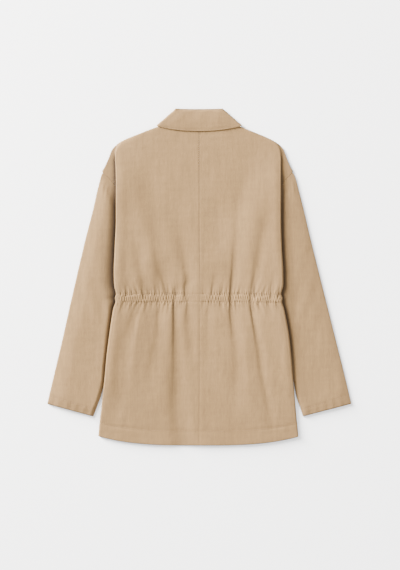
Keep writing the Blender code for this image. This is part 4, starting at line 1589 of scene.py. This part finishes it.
@dataclass(frozen=True)
class Twill:
    """Node-based cotton cloth: twill, slub and uneven colour, with shade painted into the colour in folds,
    gaps and grooves.

    Attributes:
        colour: The cloth's darker tone.
        light: The cloth's lighter tone.
        deep: The colour of the painted shade where it is strongest, in the deepest folds, gaps and grooves.
        twill_scale: The ribs' scale.
        roughness: How matt it is.
        streaks: Stretch and strength of the darker threads along the cloth and across it.
    """

    colour: tuple[float, ...] = (0.226, 0.131, 0.0492, 1.0)
    light: tuple[float, ...] = (0.2425, 0.1418, 0.0549, 1.0)
    deep: tuple[float, ...] = (0.016, 0.0075, 0.0022, 1.0)
    twill_scale: float = 349.0
    roughness: float = 0.86
    streaks: tuple = (((1.0, 0.08, 1.0), 0.27), ((0.12, 1.0, 1.0), 0.16))

    def make(self, name: str) -> bpy.types.Material:
        """Make the cloth for one piece.

        Args:
            name: The material's name.

        Returns:
            The material.
        """
        graph = Graph(name, self.roughness)
        graph.join(graph.shader, **{"Sheen Weight": 0.04, "Sheen Roughness": 0.6, "Specular IOR Level": 0.25})
        place = graph.place["Object"]
        slub = graph.noise(place, 430.0, 3.0, stretch=(1.0, 0.14, 1.0))
        colour = graph.blend(graph.noise(place, 9.0, 4.0), self.colour, self.light)
        colour = graph.darken(colour, slub, 0.30)
        for stretch, amount in self.streaks:
            colour = graph.darken(colour, graph.noise(place, 130.0, 2.0, stretch), amount)
        # Painted shade: each point's stored darkness mixes the cloth's colour towards the deep colour.
        crease = graph.node("ShaderNodeAttribute")
        crease.attribute_name = "crease"
        deep = graph.node("ShaderNodeMixRGB", Fac=crease.outputs["Fac"], Color1=colour, Color2=self.deep)
        woven = graph.place["UV"]
        ribs = graph.node("ShaderNodeTexWave", Scale=self.twill_scale, Distortion=0.6, Vector=woven)
        ribs.bands_direction = "DIAGONAL"
        relief = graph.bump(ribs.outputs["Fac"], 0.25, 0.0002)
        relief = graph.bump(slub, 0.25, 0.0004, Normal=relief)
        relief = graph.bump(graph.noise(place, 70.0, 3.0), 0.35, 0.0016, Normal=relief)
        graph.join(graph.shader, **{"Base Color": deep.outputs["Color"], "Normal": relief})
        return graph.material


@dataclass(frozen=True)
class Thread:
    """Matt tan sewing thread with a twist.

    Attributes:
        dark: Its darker tone.
        light: Its lighter tone.
        roughness: How matt it is.
    """

    dark: tuple[float, ...] = (0.185, 0.104, 0.039, 1.0)
    light: tuple[float, ...] = (0.21, 0.12, 0.045, 1.0)
    roughness: float = 0.7

    def make(self) -> bpy.types.Material:
        """Make the thread's material.

        Returns:
            The material.
        """
        graph = Graph("thread", self.roughness)
        tone = graph.noise(graph.place["Object"], 300.0, 2.0)
        graph.join(graph.shader, **{"Base Color": graph.blend(tone, self.dark, self.light)})
        return graph.material


@dataclass
class Piece:
    """A finished piece of cloth and what it is.

    Attributes:
        node: The CAD node that it stands for.
        thing: The Blender object.
    """

    node: str
    thing: bpy.types.Object


def place_mesh(name: str, shape: bmesh.types.BMesh, material: bpy.types.Material) -> bpy.types.Object:
    """Put a finished shape into the scene.

    Args:
        name: The object's name.
        shape: The shape, which is freed.
        material: What it is made of.

    Returns:
        The object.
    """
    mesh = bpy.data.meshes.new(name)
    shape.to_mesh(mesh)
    shape.free()
    mesh.shade_smooth()
    mesh.materials.append(material)
    thing = bpy.data.objects.new(name, mesh)
    bpy.context.scene.collection.objects.link(thing)
    return thing


@dataclass
class Panel:
    """A grid of points that is made into one piece of cloth.

    Attributes:
        node: The CAD node that it stands for.
        grid: Rows of (x, y, z) points in millimetres.
        painted_shade_rows: How much painted shade each point gets, in the same rows, or nothing.
        wall: The cloth's thickness.
        offset: Which side of the grid the wall lies on, from -1 to 1.
        flip: Whether the grid's faces look inwards.
        closed: Whether each row closes on itself.
    """

    node: str
    grid: np.ndarray
    painted_shade_rows: Sequence[np.ndarray] = ()
    wall: float = WALL
    offset: float = 0.0
    flip: bool = False
    closed: bool = False

    def runs(self, axis: int) -> np.ndarray:
        """How far each row (axis 0) or column (axis 1) is from the first along the cloth, in metres."""
        steps = np.linalg.norm(np.diff(self.grid, axis=axis), axis=2).mean(axis=1 - axis)
        return np.concatenate([[0.0], np.cumsum(steps)]) * MM

    def shape(self) -> bmesh.types.BMesh:
        """The grid as a mesh, with its painted shade and the cloth's own coordinates.

        Returns:
            The shape.
        """
        rows, columns = self.grid.shape[:2]
        across = columns + 1 if self.closed else columns
        shape = bmesh.new()
        bmesh.ops.create_grid(shape, x_segments=rows - 1, y_segments=across - 1, size=1.0)
        # The painted shade of each point, which the cloth's material reads.
        darkness = shape.verts.layers.float.new("crease")
        uv_layer = shape.loops.layers.uv.new("UVMap")
        ordered = sorted(shape.verts, key=lambda v: (round(v.co.x, 5), round(v.co.y, 5)))
        u, v = self.runs(1), self.runs(0)
        flat = {}
        for number, vert in enumerate(ordered):
            r, c = divmod(number, across)
            vert.co = Vector(self.grid[r][c % columns]) * MM
            if len(self.painted_shade_rows):
                vert[darkness] = float(np.clip(self.painted_shade_rows[r][c % columns], 0.0, 1.0))
            flat[vert] = (u[min(c, len(u) - 1)], v[r])
        for face in shape.faces:
            for loop in face.loops:
                loop[uv_layer].uv = flat[loop.vert]
        if self.closed:
            bmesh.ops.remove_doubles(shape, verts=shape.verts, dist=0.000001)
        if self.flip:
            bmesh.ops.reverse_faces(shape, faces=shape.faces)
        return shape

    def make(self) -> Piece:
        """Make the piece, with its wall, and say which node it replaces.

        Returns:
            The piece.
        """
        thing = place_mesh(self.node + "_dressed", self.shape(), Twill().make(self.node + "_twill"))
        solid = thing.modifiers.new("Wall", "SOLIDIFY")
        solid.thickness = self.wall * MM
        solid.offset = self.offset
        solid.use_even_offset = False
        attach(thing, "root")
        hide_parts(self.node)
        log.info("%s has %d by %d points", self.node, *self.grid.shape[:2])
        return Piece(self.node, thing)


@dataclass
class Stitcher:
    """Sews rows of thread onto finished pieces.

    Attributes:
        pieces: The pieces.
        pitch: Distance from one stitch to the next.
        length: Length of a stitch.
        radius: Radius of the thread.
        around: Sides of the thread.
        rings: Size of each ring along a stitch and its height over the cloth.
    """

    pieces: Sequence[Piece]
    pitch: float = 3.4
    length: float = 2.5
    radius: float = 0.26
    around: int = 6
    rings: tuple[Point, ...] = ((0.55, -0.12), (1.0, 0.16), (1.0, 0.22), (1.0, 0.16), (0.55, -0.12))

    def __post_init__(self) -> None:
        """Make the thread, and find the surfaces that it is sewn on."""
        self.material = Thread().make()
        self.skins = {piece.node: self.skin(piece.thing) for piece in self.pieces}

    @staticmethod
    def skin(thing: bpy.types.Object) -> BVHTree:
        """The finished surface of a piece, as a tree to cast rays at."""
        return BVHTree.FromObject(thing, bpy.context.evaluated_depsgraph_get())

    def on_top(self, node: str, x: float, y: float) -> Vector | None:
        """The top of a piece in metres at (x, y) in millimetres, or None beside the piece."""
        above = Vector((x * MM, y * MM, 0.1))
        return self.skins[node].ray_cast(above, Vector((0, 0, -1)))[0]

    def sew(self, name: str, node: str, line: Sequence[Point]) -> bpy.types.Object:
        """Sew a row of stitches along a line.

        Args:
            name: The row's name.
            node: The node of the piece that it is sewn on.
            line: Points (x, y) of the line, in millimetres.

        Returns:
            The row's object.
        """
        places = np.array(line)
        runs = np.concatenate([[0.0], np.cumsum(np.hypot(*np.diff(places, axis=0).T))])
        shape = bmesh.new()
        for start in np.arange(1.0, runs[-1] - self.length, self.pitch):
            ends = []
            for run in (start, start + self.length / 2, start + self.length):
                x, y = (np.interp(run, runs, places[:, k]) for k in (0, 1))
                ends.append(self.on_top(node, x, y))
            if None not in ends:
                self.stitch(shape, ends)
        row = place_mesh(name, shape, self.material)
        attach(row, "root")
        return row

    def stitch(self, shape: bmesh.types.BMesh, ends: Sequence[Vector]) -> None:
        """Add one stitch, a thread that dips into the cloth at both ends.

        Args:
            shape: The mesh that it is added to.
            ends: Its start, middle and end on the cloth.
        """
        along = (ends[2] - ends[0]).normalized()
        across = along.cross(Vector((0, 0, 1))).normalized()
        up = across.cross(along)
        places = (ends[0], ends[0].lerp(ends[1], 0.5), ends[1], ends[1].lerp(ends[2], 0.5), ends[2])
        turns = [2 * math.pi * k / self.around for k in range(self.around)]
        rings = []
        for place, (size, height) in zip(places, self.rings):
            middle, radius = place + up * height * MM, size * self.radius * MM
            ring = [middle + (across * math.cos(turn) + up * math.sin(turn)) * radius for turn in turns]
            rings.append([shape.verts.new(point) for point in ring])
        for low, high in zip(rings, rings[1:]):
            for k in range(self.around):
                after = (k + 1) % self.around
                shape.faces.new((low[k], low[after], high[after], high[k]))
        shape.faces.new(list(reversed(rings[0])))
        shape.faces.new(rings[-1])


@dataclass(frozen=True)
class Lamp:
    """A square soft light that faces the coat.

    Attributes:
        name: The light's name.
        place: Where it stands, in metres.
        size: Its side, in metres.
        power: Its power, in watts.
        colour: Its colour.
    """

    name: str
    place: tuple[float, float, float]
    size: float
    power: float
    colour: tuple[float, float, float]

    def hang(self) -> None:
        """Add the light to the scene."""
        data = bpy.data.lights.new(self.name, "AREA")
        data.size = self.size
        data.energy = self.power
        data.color = self.colour
        light = bpy.data.objects.new(self.name, data)
        light.location = self.place
        light.rotation_euler = (-Vector(self.place)).to_track_quat("-Z", "Y").to_euler()
        bpy.context.scene.collection.objects.link(light)


WARM, COOL = (1.0, 0.985, 0.965), (0.98, 0.99, 1.0)
LAMPS = (
    Lamp("key", (-4.4, 3.15, 3.0), 2.2, 1900.0, WARM),
    Lamp("low", (-6.5, 5.0, 1.75), 2.2, 4600.0, WARM),
    Lamp("fill", (2.0, -1.4, 2.6), 2.0, 75.0, COOL),
)


@dataclass(frozen=True)
class Studio:
    """The camera, lights and floor.

    Attributes:
        floor_tone: The floor's grey.
        sky: Strength of the even light from all round.
    """

    floor_tone: float = 0.945
    sky: float = 1.45

    def camera(self) -> None:
        """Look straight down at the coat, as the photograph does."""
        distance = VIEW_HEIGHT * CAMERA_LENS / CAMERA_SENSOR
        data = bpy.data.cameras.new("camera")
        data.lens = CAMERA_LENS
        data.sensor_width = CAMERA_SENSOR
        data.sensor_fit = "AUTO"
        data.clip_end = 20.0
        camera = bpy.data.objects.new("camera", data)
        camera.location = (VIEW_CENTRE[0] * MM, VIEW_CENTRE[1] * MM, (distance + CLOTH_PLANE) * MM)
        bpy.context.scene.collection.objects.link(camera)
        bpy.context.scene.camera = camera

    def lights(self) -> None:
        """Light the coat softly from the upper left, with an even fill."""
        for lamp in LAMPS:
            lamp.hang()
        world = bpy.data.worlds.new("studio")
        world.use_nodes = True
        sky = world.node_tree.nodes["Background"]
        sky.inputs["Color"].default_value = (1.0, 1.0, 1.0, 1.0)
        sky.inputs["Strength"].default_value = self.sky
        bpy.context.scene.world = world

    def floor(self) -> None:
        """Lay a plain pale surface under the coat."""
        shape = bmesh.new()
        bmesh.ops.create_grid(shape, x_segments=8, y_segments=8, size=4.0)
        graph = Graph("floor", 0.9)
        pale, paler = ((tone, tone, tone, 1.0) for tone in (self.floor_tone, self.floor_tone * 0.995))
        tint = graph.blend(graph.noise(graph.place["Object"], 60.0, 2.0), pale, paler)
        graph.join(graph.shader, **{"Base Color": tint})
        floor = place_mesh("floor", shape, graph.material)
        floor.location.z = -0.0002


def hem_line(side: Side) -> list[Point]:
    """The hem's stitch line on one half of the back.

    Args:
        side: The half.

    Returns:
        Its points, from the centre out.
    """
    outs = np.linspace(3.0, 224.0, 90)
    return [(side.value * out, float(hem_y(out)) + HEM_DEPTH) for out in outs]


def casing_row(side: Side, height: float) -> list[Point]:
    """A stitched edge of the casing on one half of the back.

    Args:
        side: The half.
        height: The edge's height at the centre.

    Returns:
        Its points, from the centre out.
    """
    edge = FOLD_OUT[side].one(height)
    xs = [side.value * out for out in np.linspace(4.0, edge - 3.0, 90)]
    return [(x, float(casing_line(x, height))) for x in xs]


def cuff_line(side: Side) -> list[Point]:
    """The stitch line round a cuff, as far as it shows.

    Args:
        side: The half.

    Returns:
        Its points, from the outer edge in.
    """
    outer, inner = sleeve_ends(side, CUFF_HEM / SLEEVE_LENGTH)
    points = [mix(outer, inner, k / 30) for k in range(1, 30)]
    return [(side.value * out, y) for out, y in points]


def make_pieces() -> list[Piece]:
    """Make all eight pieces of cloth.

    Returns:
        The pieces.
    """
    pieces = []
    for side in Side:
        right = side is Side.RIGHT
        back, sleeve = BackHalf(side), Sleeve(side)
        panels = (
            Panel("back_" + side.label, back.grid(), back.painted_shade_rows, flip=right),
            Panel("front_" + side.label, FrontHalf(side).grid(), offset=-1.0, flip=right),
            Panel("sleeve_" + side.label, sleeve.grid(), sleeve.painted_shade_rows, WALL, -1.0, right, closed=True),
        )
        pieces += [panel.make() for panel in panels]
    fall = CollarFall()
    pieces.append(Panel("collar_fall", fall.grid(), fall.painted_shade_rows, COLLAR_WALL, -1.0).make())
    pieces.append(Panel("collar_stand", CollarStand().grid()).make())
    return pieces


def sew_all(pieces: Sequence[Piece]) -> dict[str, list[bpy.types.Object]]:
    """Sew every row of topstitching.

    Args:
        pieces: The pieces of cloth.

    Returns:
        The rows on each node.
    """
    stitcher = Stitcher(pieces)
    rows: dict[str, list[bpy.types.Object]] = {piece.node: [] for piece in pieces}
    for side in Side:
        back, sleeve, label = "back_" + side.label, "sleeve_" + side.label, side.label
        rows[back].append(stitcher.sew("hem_stitches_" + label, back, hem_line(side)))
        rows[back].append(stitcher.sew("casing_top_stitches_" + label, back, casing_row(side, CASING_TOP)))
        rows[back].append(stitcher.sew("casing_foot_stitches_" + label, back, casing_row(side, CASING_FOOT)))
        rows[sleeve].append(stitcher.sew("cuff_stitches_" + label, sleeve, cuff_line(side)))
    return rows


@dataclass(frozen=True)
class Cut:
    """How one piece was cut and how it is held.

    Attributes:
        width: Width of the cut's rectangle in metres.
        length: Length of the cut's rectangle in metres.
        area: Area of the cut in square metres.
        held: How the cloth is held.
        under: The nodes that it lies on.
    """

    width: float
    length: float
    area: float
    held: str
    under: tuple[str, ...]


def main() -> None:
    """Build the scene."""
    logging.basicConfig(level=logging.INFO)
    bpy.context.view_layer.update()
    studio = Studio()
    studio.camera()
    studio.lights()
    studio.floor()
    pieces = make_pieces()
    bpy.context.view_layer.update()
    sew_all(pieces)
    bpy.context.view_layer.update()


if __name__ == "__main__":
    main()
